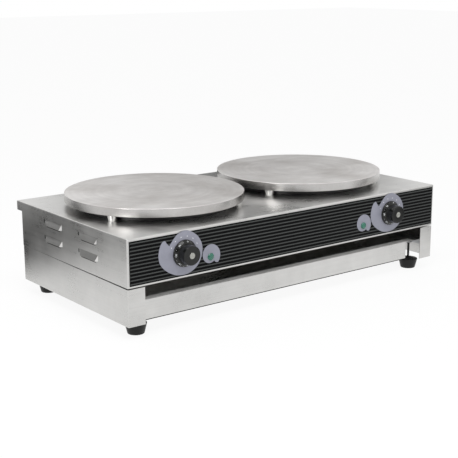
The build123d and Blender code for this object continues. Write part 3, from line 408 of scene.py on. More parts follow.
def painted(name, tone, roughness, specular, coat=0.0, grain=900.0, depth=0.03 * MM):
    """Paint or lacquer with a trace of orange peel and fine dust."""
    finish = Finish(name, **{"Specular IOR Level": specular, "Coat Weight": coat, "Coat Roughness": 0.08})
    peel = finish.grain(grain)
    dust = finish.grain(40.0, detail=5.0, roughness=0.7)
    finish.mottled(dust, tone, 0.85, 1.2)
    finish.blurred(dust, roughness - 0.06, roughness + 0.08)
    finish.relief(peel, 0.2, depth)
    return finish.material


def moulded(name, tone, roughness, specular=0.5, grain=2200.0):
    """Moulded plastic or rubber with its tool's fine texture."""
    finish = Finish(name, **{"Specular IOR Level": specular})
    skin = finish.grain(grain, detail=3.0)
    tone_shift = finish.grain(70.0, detail=4.0)
    finish.mottled(tone_shift, tone, 0.8, 1.35)
    finish.blurred(tone_shift, roughness - 0.07, roughness + 0.09)
    finish.relief(skin, 0.35, 0.05 * MM)
    return finish.material


def plated(name, tone, roughness, metallic=1.0):
    """Plated or plain small metal parts with a slightly cloudy surface."""
    finish = Finish(name, Metallic=metallic)
    spangle = finish.grain(160.0, detail=3.0)
    fine = finish.grain(1800.0)
    finish.mottled(spangle, tone, 0.82, 1.15)
    finish.blurred(spangle, roughness - 0.07, roughness + 0.1)
    finish.relief(fine, 0.15, 0.03 * MM)
    return finish.material


def green_glass(name, tone):
    """Lens of a signal lamp: deep green, clear enough to show the bright cup behind it."""
    glass = {"Transmission Weight": 0.55, "IOR": 1.49, "Coat Weight": 0.6, "Coat Roughness": 0.03}
    finish = Finish(name, **glass)
    swirl = finish.grain(260.0)
    finish.mottled(swirl, tone, 0.75, 1.3)
    finish.blurred(swirl, 0.06, 0.16)
    return finish.material


def fibre(name, tone):
    """Board of pressed strands."""
    finish = Finish(name, Roughness=0.95)
    strands = finish.grain((420.0, 420.0, 60.0), detail=6.0, roughness=0.8)
    finish.mottled(strands, tone, 0.72, 1.08)
    finish.relief(strands, 0.6, 0.4 * MM)
    return finish.material


_made = {}


def finish_for(name):
    """Each finish is made once, from the settings; most bear the name of the slot that they dress."""
    if name not in _made:
        own = settings()
        sheet, controls = own.sheet, own.controls
        steel, blur = sheet.steel, sheet.steel_roughness
        makers = {
            "stainless": lambda: brushed_steel("steel_brushed_across", steel, "x", blur),
            "stainless_side": lambda: brushed_steel("steel_brushed_back", steel, "y", blur),
            # painted shade: the louvres' hoods take a darker copy of the sides' steel
            "stainless_pressed": lambda: brushed_steel(
                "steel_brushed_pressed", tinted(steel, 0.78), "y", blur
            ),
            # painted light: the drawer lip's upward faces take a lighter copy of the steel, which is also
            # rougher
            "stainless_lip": lambda: brushed_steel("steel_brushed_lip", tinted(steel, 1.2), "x", 0.7),
            "galvanised": lambda: plated("galvanised_sheet", (0.5, 0.51, 0.52), 0.42),
            "zinc": lambda: plated("zinc_plate", sheet.zinc, 0.34),
            # painted shade: the black of the dark slabs at the louvres and along the drawer's hem
            "shade": lambda: moulded("louvre_shade", (0.006, 0.006, 0.006), 0.85, 0.0),
            "blackened": lambda: plated("blackened_steel", (0.035, 0.035, 0.035), 0.4, 0.6),
            "bright_post": lambda: plated("turned_bright_steel", own.posts.steel, 0.16),
            "black_enamel": lambda: painted("black_enamel", own.pans.enamel, 0.3, 0.4),
            "element_sheath": lambda: plated("heater_sheath", (0.09, 0.085, 0.08), 0.55, 0.8),
            "fibre_board": lambda: fibre("fibre_board", (0.85, 0.83, 0.77)),
            "black_panel": lambda: painted("panel_black", own.panel.black, 0.5, 0.05),
            "rib": lambda: painted("panel_rib_grey", own.panel.rib, 0.45, 0.15),
            "dial_grey": lambda: painted("dial_grey", controls.dial, 0.38, 0.5, grain=1400.0),
            "marks": lambda: painted("printed_marks", controls.print_white, 0.5, 0.4),
            "black_gloss": lambda: painted(
                "knob_black", controls.black, 0.1, 0.3, coat=0.15, depth=0.01 * MM
            ),
            "bright_cap": lambda: plated("cap_metal", controls.cap, 0.22),
            "green_lens": lambda: green_glass("lens_green", controls.green),
            "black_plastic": lambda: moulded("black_nylon", (0.022, 0.022, 0.023), 0.48),
            "white_plastic": lambda: moulded("white_nylon", (0.74, 0.73, 0.70), 0.45),
            "copper": lambda: plated("copper_tube", (0.78, 0.42, 0.26), 0.3),
            "black_rubber": lambda: moulded("foot_rubber", own.feet.rubber, 0.42, 0.25, grain=900.0),
        }
        _made[name] = makers[name]()
    return _made[name]


# ---------------------------------------------------------------- mesh helpers
def as_mesh(form, name):
    mesh = bpy.data.meshes.new(name)
    form.to_mesh(mesh)
    form.free()
    return mesh


def smooth(mesh, degrees=38):
    mesh.shade_smooth()
    mesh.set_sharp_from_angle(angle=math.radians(degrees))
    return mesh


def turned(name, outline, segments=64):
    """A mesh of revolution about Z from (radius, height) points; off the axis, the outline closes."""
    form = bmesh.new()
    rings = []
    for radius, height in outline:
        count = 1 if radius < 1e-7 else segments
        spokes = [2 * math.pi * i / segments for i in range(count)]
        rings.append([form.verts.new((radius * math.cos(a), radius * math.sin(a), height)) for a in spokes])
    on_axis = outline[0][0] < 1e-7 and outline[-1][0] < 1e-7
    after = rings[1:] if on_axis else rings[1:] + rings[:1]
    for ring, following in zip(rings, after):
        for i in range(segments):
            j = i + 1
            corners = [ring[i % len(ring)], ring[j % len(ring)]]
            corners += [following[j % len(following)], following[i % len(following)]]
            corners = list(dict.fromkeys(corners))
            if len(corners) > 2:
                form.faces.new(corners)
    bmesh.ops.recalc_face_normals(form, faces=form.faces)
    return smooth(as_mesh(form, name))


def eased(outline, radius, steps=4, closed=False):
    """The outline with each corner turned into a short curve that starts a radius before it."""
    count = len(outline)
    result = []
    for index, corner in enumerate(outline):
        if not closed and index in (0, count - 1):
            result.append(corner)
            continue
        here = Vector(corner)
        before = Vector(outline[index - 1]) - here
        after = Vector(outline[(index + 1) % count]) - here
        reach = min(radius, before.length * 0.45, after.length * 0.45)
        start = here + before.normalized() * reach
        end = here + after.normalized() * reach
        for step in range(steps + 1):
            t = step / steps
            result.append(tuple(start * (1 - t) ** 2 + here * 2 * t * (1 - t) + end * t**2))
    return result


def joined_copy(cad_node):
    """A copy of a CAD node's mesh with its loose triangles joined and its flat faces cleared."""
    form = bmesh.new()
    form.from_mesh(frame["nodes"][cad_node].data)
    bmesh.ops.remove_doubles(form, verts=form.verts, dist=3e-6)
    bmesh.ops.dissolve_limit(form, angle_limit=math.radians(0.4), verts=form.verts, edges=form.edges)
    return as_mesh(form, cad_node)


def finished(obj):
    """The evaluated object as a plain mesh object, its modifiers used up."""
    graph = bpy.context.evaluated_depsgraph_get()
    mesh = bpy.data.meshes.new_from_object(obj.evaluated_get(graph))
    obj.modifiers.clear()
    obj.data = mesh
    return obj


def mesh_from(source):
    """The evaluated mesh of an object, which is then removed."""
    graph = bpy.context.evaluated_depsgraph_get()
    mesh = bpy.data.meshes.new_from_object(source.evaluated_get(graph))
    bpy.data.objects.remove(source)
    return mesh


def show(name, data, materials=()):
    obj = bpy.data.objects.new(name, data)
    bpy.context.scene.collection.objects.link(obj)
    for material in materials:
        obj.data.materials.append(material)
    return obj


def fit(obj, body, slot, *stands_for):
    """Ties a finished piece to its body and hides the nodes that it stands for; slot is not used."""
    if stands_for:
        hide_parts(*stands_for)
    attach(obj, body)


def fitted(name, mesh, body, slot, *stands_for, finish=None):
    """A piece in one finish, its slot's own where none is given, shown and tied."""
    fit(show(name, mesh, [finish_for(finish or slot)]), body, slot, *stands_for)


def cuboid(form, place, size):
    bmesh.ops.create_cube(form, size=1, matrix=place @ Matrix.Diagonal((*size, 1)))


# a sheet's edges are rounded from this angle on, and look sharp from SHEET_CREASE degrees on
ROUNDED_FROM = math.radians(33)
SHEET_CREASE = 18
HOOD_RISE = (0.2, 0.45)  # how far the normals of the louvres' hoods point up


def sheet_finish(normal, has_lip):
    """Which finish a face takes: 2 on a louvre's hood (painted shade) or the drawer's lip (painted light), 1
    on a side, 0 elsewhere.
    """
    on_side = abs(normal.x) > 0.7
    on_hood = on_side and HOOD_RISE[0] < normal.z < HOOD_RISE[1]
    if on_hood or has_lip and normal.z > 0.5:
        return 2
    return 1 if on_side else 0


def folded(cad_node, body, slot, round_width, shift=None, finishes=()):
    """A sheet piece: the CAD shape with its sharp edges rounded.

    shift gives, for a point of the shape, how far the fitted sheet lies from it. The piece has its
    slot's own finish, or three finishes, by the way that its faces look; the third is painted shade
    on the louvres' hoods and painted light on the drawer's lip.
    """
    names = finishes or [slot]
    obj = show(cad_node + "_sheet", joined_copy(cad_node), [finish_for(name) for name in names])
    if shift:
        for vertex in obj.data.vertices:
            vertex.co += Vector(shift(vertex.co))
    bevel = obj.modifiers.new("round", "BEVEL")
    bevel.width = round_width
    bevel.segments = 2
    bevel.limit_method = "ANGLE"
    bevel.angle_limit = ROUNDED_FROM
    bevel.use_clamp_overlap = True
    weighted = obj.modifiers.new("flat faces stay flat", "WEIGHTED_NORMAL")
    weighted.weight = 100
    weighted.keep_sharp = True
    smooth(obj.data, SHEET_CREASE)
    finished(obj)
    if finishes:
        for face in obj.data.polygons:
            face.material_index = sheet_finish(face.normal, cad_node == "drawer_front")
    fit(obj, body, slot, cad_node)


def cut_away(obj, form):
    """Cuts a closed form out of an object and keeps what is left as its mesh."""
    tool = show("cutter", as_mesh(form, "cutter"))
    cut = obj.modifiers.new("cut", "BOOLEAN")
    cut.object = tool
    cut.solver = "EXACT"
    cut.use_self = True
    finished(obj)
    bpy.data.objects.remove(tool)
    return obj


def loop_through(stations):
    """A smooth outline through (degrees, radius) stations, with a corner where it closes."""
    spots = [Vector((r * math.cos(math.radians(a)), r * math.sin(math.radians(a)))) for a, r in stations]
    spots = [spots[0] * 2 - spots[1], *spots, spots[-1] * 2 - spots[-2]]
    outline = []
    for before, start, end, after in zip(spots, spots[1:], spots[2:], spots[3:]):
        first, second = start + (end - before) / 6, end - (after - start) / 6
        outline += interpolate_bezier(start, first, second, end, 7)[:-1]
    return [(spot.x, spot.y) for spot in outline]


def circle_points(radius, count=40):
    spokes = [2 * math.pi * i / count for i in range(count)]
    return [(radius * math.cos(a), radius * math.sin(a)) for a in spokes]


def flat_piece(name, loops, thickness, ease):
    """A plate in XY that stands on z = 0, from its outline and its holes, with eased edges."""
    curve = bpy.data.curves.new(name, "CURVE")
    curve.dimensions = "2D"
    curve.fill_mode = "BOTH"
    curve.extrude = thickness / 2 - ease
    curve.bevel_depth = ease
    curve.bevel_resolution = 2
    curve.offset = -ease
    for loop in loops:
        line = curve.splines.new("POLY")
        line.points.add(len(loop) - 1)
        for point, (x, y) in zip(line.points, loop):
            point.co = (x, y, 0, 1)
        line.use_cyclic_u = True
    form = bmesh.new()
    form.from_mesh(mesh_from(show(name, curve)))
    bmesh.ops.remove_doubles(form, verts=form.verts, dist=2e-6)
    bmesh.ops.recalc_face_normals(form, faces=form.faces)
    bmesh.ops.translate(form, vec=(0, 0, thickness / 2), verts=form.verts)
    return smooth(as_mesh(form, name))


def facing_front(x, z):
    """Places what was built along +Z on the front, pointing forwards."""
    return Matrix.Translation((x, FRONT, z)) @ Matrix.Rotation(math.pi / 2, 4, "X")


def facing_rear(x, z):
    return Matrix.Translation((x, REAR, z)) @ Matrix.Rotation(-math.pi / 2, 4, "X")


# ---------------------------------------------------------------- geometry trees
def new_tree(name, **inputs):
    """A Geometry Nodes tree with named inputs and a material; also returns its inputs and outputs."""
    tree = bpy.data.node_groups.new(name, "GeometryNodeTree")
    tree.interface.new_socket("Geometry", in_out="OUTPUT", socket_type="NodeSocketGeometry")
    for label, kind in (*inputs.items(), ("material", "Material")):
        title = label.replace("_", " ").title()
        tree.interface.new_socket(title, in_out="INPUT", socket_type="NodeSocket" + kind)
    return tree, tree.nodes.new("NodeGroupInput").outputs, tree.nodes.new("NodeGroupOutput").inputs


def close_tree(tree, instances, given, output):
    """Every tree ends in real geometry with its material set."""
    real = node(tree, "GeometryNodeRealizeInstances", {"Geometry": instances})
    inputs = {"Geometry": real.outputs[0], "Material": given["Material"]}
    tree.links.new(node(tree, "GeometryNodeSetMaterial", inputs).outputs[0], output["Geometry"])
    return tree


def grown(name, tree, finish, **values):
    """Runs a tree once and keeps its result as a plain mesh object."""
    values["material"] = finish_for(finish)
    obj = show(name, bpy.data.meshes.new(name))
    modifier = obj.modifiers.new("grow", "NODES")
    modifier.node_group = tree
    for item in tree.interface.items_tree:
        if item.item_type == "SOCKET" and item.in_out == "INPUT":
            modifier[item.identifier] = values[item.name.lower().replace(" ", "_")]
    return finished(obj)


def geometry_of(tree, given_object):
    return node(tree, "GeometryNodeObjectInfo", {"Object": given_object}).outputs["Geometry"]


def copies(tree, points, piece, **more):
    """The piece at each point."""
    inputs = {"Points": points, "Instance": piece, **more}
    return node(tree, "GeometryNodeInstanceOnPoints", inputs).outputs[0]


def moved(tree, geometry, **how):
    return node(tree, "GeometryNodeTransform", {"Geometry": geometry, **how}).outputs[0]


def point_row(tree, count, start, step):
    inputs = {"Count": count, "Start Location": start, "Offset": step}
    return node(tree, "GeometryNodeMeshLine", inputs, mode="OFFSET").outputs[0]


def swept(tree, path, section):
    """A closed solid of one section along a path."""
    inputs = {"Curve": path, "Profile Curve": section, "Fill Caps": True}
    return node(tree, "GeometryNodeCurveToMesh", inputs).outputs[0]


def round_pattern():
    """Copies of a piece round a vertical axis, each turned to face outwards."""
    tree, given, out = new_tree(
        "round_pattern", piece="Object", count="Int", radius="Float", first_angle="Float", centre="Vector"
    )
    circle = node(tree, "GeometryNodeMeshCircle", {"Vertices": given["Count"], "Radius": given["Radius"]})
    index = node(tree, "GeometryNodeInputIndex").outputs[0]
    step = math_node(tree, "DIVIDE", 2 * math.pi, given["Count"])
    facing = vector_node(tree, 0.0, 0.0, math_node(tree, "MULTIPLY", index, step))
    ring = copies(tree, circle.outputs[0], geometry_of(tree, given["Piece"]), Rotation=facing)
    turn = vector_node(tree, 0.0, 0.0, given["First Angle"])
    return close_tree(tree, moved(tree, ring, Translation=given["Centre"], Rotation=turn), given, out)


def row_pattern():
    """Copies of a piece in a straight row."""
    tree, given, out = new_tree("row_pattern", piece="Object", count="Int", start="Vector", step="Vector")
    points = point_row(tree, given["Count"], given["Start"], given["Step"])
    return close_tree(tree, copies(tree, points, geometry_of(tree, given["Piece"])), given, out)


def pierce(tree, solid, given):
    """Cuts a round hole along Z through a solid at each point of the Holes input."""
    size = {"Vertices": 32, "Radius": given["Hole Radius"], "Depth": 20 * MM}
    drill = node(tree, "GeometryNodeMeshCylinder", size, fill_type="NGON").outputs["Mesh"]
    drills = copies(tree, geometry_of(tree, given["Holes"]), drill)
    cutter = node(tree, "GeometryNodeRealizeInstances", {"Geometry": drills}).outputs[0]
    inputs = {"Mesh 1": solid, "Mesh 2": cutter}
    cut = node(tree, "GeometryNodeMeshBoolean", inputs, operation="DIFFERENCE", solver="EXACT")
    return cut.outputs["Mesh"]


def pierced_sheet():
    """A flat panel in XY that stands on z = 0, with round holes."""
    tree, given, out = new_tree(
        "pierced_sheet", size="Vector", centre="Vector", holes="Object", hole_radius="Float"
    )
    sheet = node(tree, "GeometryNodeMeshCube", {"Size": given["Size"]}).outputs["Mesh"]
    panel = moved(tree, sheet, Translation=given["Centre"])
    return close_tree(tree, pierce(tree, panel, given), given, out)


def rib_rows():
    """Half-round ribs along X, repeated up Y, cut where the holes are."""
    tree, given, out = new_tree(
        "rib_rows", length="Float", width="Float", height="Float", count="Int", pitch="Float",
        centre="Vector", holes="Object", hole_radius="Float",
    )
    half = math_node(tree, "MULTIPLY", given["Length"], 0.5)
    ends = {"Start": vector_node(tree, math_node(tree, "MULTIPLY", half, -1.0), 0.0, 0.0)}
    ends["End"] = vector_node(tree, half, 0.0, 0.0)
    line = node(tree, "GeometryNodeCurvePrimitiveLine", ends).outputs[0]
    circle = node(tree, "GeometryNodeCurvePrimitiveCircle", {"Resolution": 12, "Radius": 1.0}).outputs[0]
    oval = vector_node(tree, math_node(tree, "MULTIPLY", given["Width"], 0.5), given["Height"], 1.0)
    rib = swept(tree, line, moved(tree, circle, Scale=oval))
    soft = node(tree, "GeometryNodeSetShadeSmooth", {"Geometry": rib, "Shade Smooth": True}).outputs[0]
    rise = math_node(tree, "MULTIPLY", math_node(tree, "SUBTRACT", given["Count"], 1), -0.5)
    first = vector_node(tree, 0.0, math_node(tree, "MULTIPLY", rise, given["Pitch"]), 0.0)
    points = point_row(tree, given["Count"], first, vector_node(tree, 0.0, given["Pitch"], 0.0))
    ribs = moved(tree, copies(tree, points, soft), Translation=given["Centre"])
    real = node(tree, "GeometryNodeRealizeInstances", {"Geometry": ribs}).outputs[0]
    return close_tree(tree, pierce(tree, real, given), given, out)


def tick_arc():
    """Short raised marks on an arc about Z, leaning back by a tilt as on a cone."""
    tree, given, out = new_tree(
        "tick_arc", count="Int", first_angle="Float", last_angle="Float", radius="Float",
        height="Float", tilt="Float", mark="Vector",
    )
    index = node(tree, "GeometryNodeInputIndex").outputs[0]
    gaps = math_node(tree, "SUBTRACT", given["Count"], 1)
    sweep = math_node(tree, "SUBTRACT", given["Last Angle"], given["First Angle"])
    part = math_node(tree, "MULTIPLY", math_node(tree, "DIVIDE", index, gaps), sweep)
    turn = math_node(tree, "ADD", part, given["First Angle"])
    across = math_node(tree, "MULTIPLY", math_node(tree, "COSINE", turn), given["Radius"])
    up = math_node(tree, "MULTIPLY", math_node(tree, "SINE", turn), given["Radius"])
    points = node(tree, "GeometryNodeMeshLine", {"Count": given["Count"]}, mode="OFFSET").outputs[0]
    inputs = {"Geometry": points, "Position": vector_node(tree, across, up, given["Height"])}
    spots = node(tree, "GeometryNodeSetPosition", inputs).outputs[0]
    mark = node(tree, "GeometryNodeMeshCube", {"Size": given["Mark"]}).outputs["Mesh"]
    marks = copies(tree, spots, mark, Rotation=vector_node(tree, 0.0, given["Tilt"], turn))
    return close_tree(tree, marks, given, out)


def screw_thread():
    """A ridge wound round Z."""
    tree, given, out = new_tree(
        "screw_thread", root_radius="Float", ridge="Float", turns="Float", height="Float", centre="Vector"
    )
    winding = {"Resolution": 28, "Rotations": given["Turns"], "Height": given["Height"]}
    winding.update({end + " Radius": given["Root Radius"] for end in ("Start", "End")})
    spiral = node(tree, "GeometryNodeCurveSpiral", winding).outputs[0]
    inputs = {"Resolution": 4, "Radius": given["Ridge"]}
    section = node(tree, "GeometryNodeCurvePrimitiveCircle", inputs).outputs[0]
    ridge = moved(tree, swept(tree, spiral, section), Translation=given["Centre"])
    return close_tree(tree, ridge, given, out)


# ---------------------------------------------------------------- pieces
# the third steel is painted shade on the louvres' hoods
STEELS = ("stainless", "stainless_side", "stainless_pressed")
EDGE_SHARE = 0.4  # the housing's lower edge comes down by this share of the seam
RIM_REACH = 9 * MM  # the rims of the drawer's box lie this near to its side
RAIL_FRONT = 6 * MM  # the rails' front ends reach this far back


class CREPE_OT_sheet_metal(bpy.types.Operator):
    """Housing, base and drawer in brushed sheet, and the small plated parts"""

    bl_idname = "crepe.sheet_metal"
    bl_label = "Sheet metal"

    def execute(self, context):
        own = settings().sheet
        self.housing_and_base(own)
        self.drawer(own)
        self.rails(own)
        self.paint_hem_shade(own)
        self.louvre_marks(own)
        return {"FINISHED"}

    def housing_and_base(self, own):
        base_middle = centre_of("base_side_left").z

        def edged(spot):
            return 0, 0, -own.seam * EDGE_SHARE if spot.z < FASCIA_LOW.z - MM else 0

        def seam(spot):
            return 0, 0, -own.seam if spot.z > base_middle and spot.y < 0 else 0

        shifts = {"upper_housing": edged, "rear_panel": edged}
        shifts.update({"base_side_left": seam, "base_side_right": seam, "base_rear_panel": None})
        for cad_node, shift in shifts.items():
            folded(cad_node, "machine", "stainless", own.fold, shift, STEELS)

    def drawer(self, own):
        middle = centre_of("drawer_pan").y

        def narrowed(spot):
            return -own.drawer_narrower if abs(spot.x - own.drawer_half) < RIM_REACH else 0

        def hung(spot):
            return narrowed(spot), own.drawer_back if spot.y < middle else 0, -own.drawer_down

        def widened(spot):
            left_end = abs(spot.x + own.drawer_half) < MM
            return -own.drawer_wider if left_end else narrowed(spot), own.drawer_back, -own.drawer_down

        # the lip's lighter steel is painted light
        with_painted_lip = (*STEELS[:2], "stainless_lip")
        folded("drawer_front", "drawer", "stainless", own.face_fold, widened, with_painted_lip)
        folded("drawer_pan", "drawer", "stainless", own.fold, hung, STEELS)

    def rails(self, own):
        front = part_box("drawer_rail_left")[0].y + RAIL_FRONT

        def dropped(spot):
            return 0, own.rail_back if spot.y < front else 0, -own.drawer_down

        for side in SIDES:
            folded(f"drawer_rail_{side}", "machine", "galvanised", own.fold, dropped)
        folded("foot_nuts", "machine", "zinc", own.nut_fold, dropped)

    def paint_hem_shade(self, own):
        """Painted shade: a dark line where the drawer's face is turned under."""
        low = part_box("drawer_front")[0]
        width = own.drawer_half * 2 + own.drawer_wider - own.drawer_narrower
        middle = -(own.drawer_wider + own.drawer_narrower) / 2
        place = Matrix.Translation((middle, low.y + own.drawer_back, low.z - own.drawer_down + own.hem_up))
        form = bmesh.new()
        cuboid(form, place, (width, own.mark, own.hem_height))
        fitted("drawer_hem_line", as_mesh(form, "drawer_hem_line"), "drawer", "stainless", finish="shade")

    def louvre_marks(self, own):
        """Painted shade: a dark slab in the opening at each hood's rear end and one under its lower edge."""
        deep = centre_of("base_side_left").y
        form = bmesh.new()
        for side, column, low in product((-1, 1), (-LOUVRE_COLUMN, LOUVRE_COLUMN), LOUVRE_ROWS):
            for back, up, depth, height in LOUVRE_PAINTED_SHADE:
                place = Matrix.Translation((side * HOUSING_SIDE, deep + column + back, low + up))
                cuboid(form, place, (own.mark, depth, height))
        fitted("louvre_mouths", as_mesh(form, "louvre_mouths"), "machine", "stainless", finish="shade")


class CREPE_OT_plain_nodes(bpy.types.Operator):
    """Finishes for the CAD pieces that are shown as they are"""

    bl_idname = "crepe.plain_nodes"
    bl_label = "Inner pieces"

    def execute(self, context):
        for part in frame["record"]["subparts"]:
            slot = part["material_slot"]
            obj = frame["nodes"][part["node"]]
            obj.data.materials.clear()
            obj.data.materials.append(finish_for("galvanised" if slot == "machined_plate" else slot))
        return {"FINISHED"}


class CREPE_OT_cooking_plates(bpy.types.Operator):
    """Turned cooking plates with an eased rim and the recess below"""

    bl_idname = "crepe.cooking_plates"
    bl_label = "Cooking plates"

    def execute(self, context):
        own = settings().plates
        for side in SIDES:
            centre = centre_of(f"cooking_plate_{side}")
            radius = size_of(f"cooking_plate_{side}").x / 2
            roof = PLATE_LOW + own.recess_depth
            below = [(0, roof), (own.recess_radius, roof), (own.recess_radius, PLATE_LOW)]
            below += [(radius - own.foot_chamfer, PLATE_LOW), (radius, PLATE_LOW + own.foot_chamfer)]
            rim = [(radius, PLATE_LOW + own.foot_chamfer), (radius, PLATE_HIGH), (0, PLATE_HIGH)]
            outline = eased(below, own.recess_round)[:-1] + eased(rim, own.rim_round, steps=6)
            mesh = turned(f"plate_{side}", outline, own.segments)
            spot = (centre.x, centre.y, 0)
            mesh.transform(Matrix.Translation(spot))
            iron = turned_iron(f"turned_iron_{side}", own.iron, own.iron_roughness, spot)
            edge = turned_iron(f"turned_iron_edge_{side}", own.edge, own.edge_roughness, spot)
            plate = show(f"turned_plate_{side}", mesh, [iron, edge])
            for face in plate.data.polygons:
                face.material_index = 0 if face.normal.z > 0.5 else 1
            fit(plate, "machine", "machined_plate", f"cooking_plate_{side}")
        return {"FINISHED"}


class CREPE_OT_heater_pans(bpy.types.Operator):
    """Pressed black pans between the deck and the plates"""

    bl_idname = "crepe.heater_pans"
    bl_label = "Heater pans"

    def execute(self, context):
        own = settings().pans
        wall, dish = own.sheet, own.dish_radius
        for side in SIDES:
            low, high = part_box(f"heater_pan_{side}")
            centre = (low + high) / 2
            rim = (high.x - low.x) / 2
            outside = [(0, low.z), (dish, low.z), (dish, DECK), (rim, DECK), (rim, high.z)]
            inside = [(rim - wall, high.z), (rim - wall, DECK + wall), (dish - wall, DECK + wall)]
            inside += [(dish - wall, low.z + wall), (0, low.z + wall)]
            mesh = turned(f"pan_{side}", eased(outside + inside, own.bend, steps=3), segments=128)
            mesh.transform(Matrix.Translation((centre.x, centre.y, 0)))
            fitted(f"pressed_pan_{side}", mesh, "machine", "black_enamel", f"heater_pan_{side}")
        return {"FINISHED"}


class CREPE_OT_plate_posts(bpy.types.Operator):
    """Bright tapered posts that carry the plates"""

    bl_idname = "crepe.plate_posts"
    bl_label = "Plate posts"

    def execute(self, context):
        own = settings().posts
        outline = [(own.bore_radius, DECK), (own.foot_radius, DECK)]
        outline += [(own.top_radius, PLATE_LOW), (own.bore_radius, PLATE_LOW)]
        outline = eased(outline, own.rounding, steps=4, closed=True)
        pattern = show("post_pattern", turned("post", outline, segments=48))
        tree = round_pattern()
        for side in SIDES:
            centre = centre_of(f"cooking_plate_{side}")
            posts = grown(
                f"turned_posts_{side}", tree, "bright_post", piece=pattern, count=own.count,
                radius=own.circle_radius, first_angle=own.first_angle, centre=(centre.x, centre.y, 0),
            )
            fit(posts, "machine", "bright_post", f"plate_posts_{side}")
        bpy.data.objects.remove(pattern)
        return {"FINISHED"}


class CREPE_OT_control_panel(bpy.types.Operator):
    """Black panel with its raised ribs"""

    bl_idname = "crepe.control_panel"
    bl_label = "Control panel"

    def execute(self, context):
        own = settings().panel
        places = [centre_of(f"{kind}_{side}") for kind in ("knob_cap", "lamp_lens") for side in SIDES]
        spots = bpy.data.meshes.new("hole_places")
        spots.from_pydata([(spot.x, spot.z, 0) for spot in places], [], [])
        holes = show("hole_places", spots)
        width = FASCIA_HIGH.x - FASCIA_LOW.x
        height = FASCIA_HIGH.z - FASCIA_LOW.z
        middle = (FASCIA_LOW.z + FASCIA_HIGH.z) / 2
        panel = grown(
            "panel_sheet", pierced_sheet(), "black_panel", size=(width, height, own.thickness),
            centre=(0, middle, own.thickness / 2), holes=holes, hole_radius=own.hole_radius,
        )
        ribs = grown(
            "panel_ribs", rib_rows(), "rib", length=width, width=own.rib_width, height=own.rib_height,
            count=own.rib_count, pitch=own.rib_pitch, centre=(0, middle, own.thickness), holes=holes,
            hole_radius=own.hole_radius,
        )
        for made in (panel, ribs):
            made.data.transform(facing_front(0, 0))
        fit(panel, "machine", "black_panel", "control_fascia")
        fit(ribs, "machine", "black_panel")
        bpy.data.objects.remove(holes)
        return {"FINISHED"}


CAPITAL_SHARE = 0.7  # a numeral's height as a share of the font's size


def wrapped_text(text, height, radius, turn, surface):
    """A numeral as a thin mesh laid on a surface of revolution about Z, at a radius and an angle.

    surface gives the height and the slope of the ground at a radius.
    """
    curve = bpy.data.curves.new("numeral", "FONT")
    curve.body = text
    curve.size = height / CAPITAL_SHARE
    curve.align_x = "CENTER"
    curve.align_y = "CENTER"
    curve.extrude = settings().controls.print_thickness / 2
    curve.resolution_u = 3
    mesh = mesh_from(show("numeral", curve))
    for vertex in mesh.vertices:
        x, y, lift = vertex.co
        ground, slope = surface(radius + y * math.cos(surface(radius)[1]))
        out = radius + y * math.cos(slope) + lift * math.sin(slope)
        around = turn - x / radius
        rise = ground + lift * math.cos(slope)
        vertex.co = (out * math.cos(around), out * math.sin(around), rise)
    return mesh


def merged(name, meshes, finish):
    """Several meshes as one object."""
    form = bmesh.new()
    for mesh in meshes:
        form.from_mesh(mesh)
    obj = show(name, as_mesh(form, name), [finish_for(finish)])
    for face in obj.data.polygons:
        face.material_index = 0
    return obj


DIAL_EASE = 0.15 * MM
SCALE_MARK = (1.5 * MM, 2.6 * MM)


class CREPE_OT_dials(bpy.types.Operator):
    """Spiral dial and lamp plates with their printed scale"""

    bl_idname = "crepe.dials"
    bl_label = "Dial plates"

    def execute(self, context):
        own = settings().controls
        marks = tick_arc()
        for side in SIDES:
            folded(f"lamp_plate_{side}", "machine", "dial_grey", DIAL_EASE)
            low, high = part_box(f"dial_plate_{side}")
            knob = centre_of(f"knob_cap_{side}")
            place = facing_front(knob.x, knob.z)
            edge = [(x * MM + own.dial_shift, y * MM) for x, y in loop_through(DIAL_EDGE)]
            loops = [edge, circle_points(own.dial_hole)]
            plate = flat_piece(f"dial_{side}", loops, high.y - low.y, DIAL_EASE)
            plate.transform(place @ Matrix.Translation((0, 0, FRONT - high.y)))
            fitted(f"spiral_dial_{side}", plate, "machine", "dial_grey", f"dial_plate_{side}")
            scale = grown(
                f"dial_scale_{side}", marks, "marks", count=own.scale_count, first_angle=own.scale_start,
                last_angle=own.scale_end, radius=own.scale_radius, height=FRONT - low.y, tilt=0.0,
                mark=(*SCALE_MARK, own.print_thickness * 2),
            )
            scale.data.transform(place)
            fit(scale, "machine", "dial_grey")
        return {"FINISHED"}


# a knob, from its back along its axis and from the axis outwards
SKIRT_EDGE = 2.6 * MM
SHOULDER = 8 * MM
HOLLOW_RADIUS, HOLLOW_DEPTH = 26.3 * MM, 1.8 * MM
BOSS_RADIUS = SEAT_RADIUS = 6.5 * MM
BORE_RADIUS, BORE_DEPTH = 3.05 * MM, 18.2 * MM
KNOB_ROUND, HOLLOW_ROUND = 1.1 * MM, 0.3 * MM
NUMERALS = ("0", "50", "100", "150", "200", "250", "300")
TICK = (1.2 * MM, 0.4 * MM)
# the bright disc, its round grooves and the slot across it
DISC_RADIUS, DISC_CHAMFER = 6.4 * MM, 0.2 * MM
GROOVES, FIRST_GROOVE, GROOVE_PITCH = 5, 5.4 * MM, 1.0 * MM
GROOVE_HALF, GROOVE_DEPTH = 0.2 * MM, 0.12 * MM
SLOT = (14 * MM, 1.0 * MM, 1.6 * MM)
SLOT_TURN = math.radians(8)


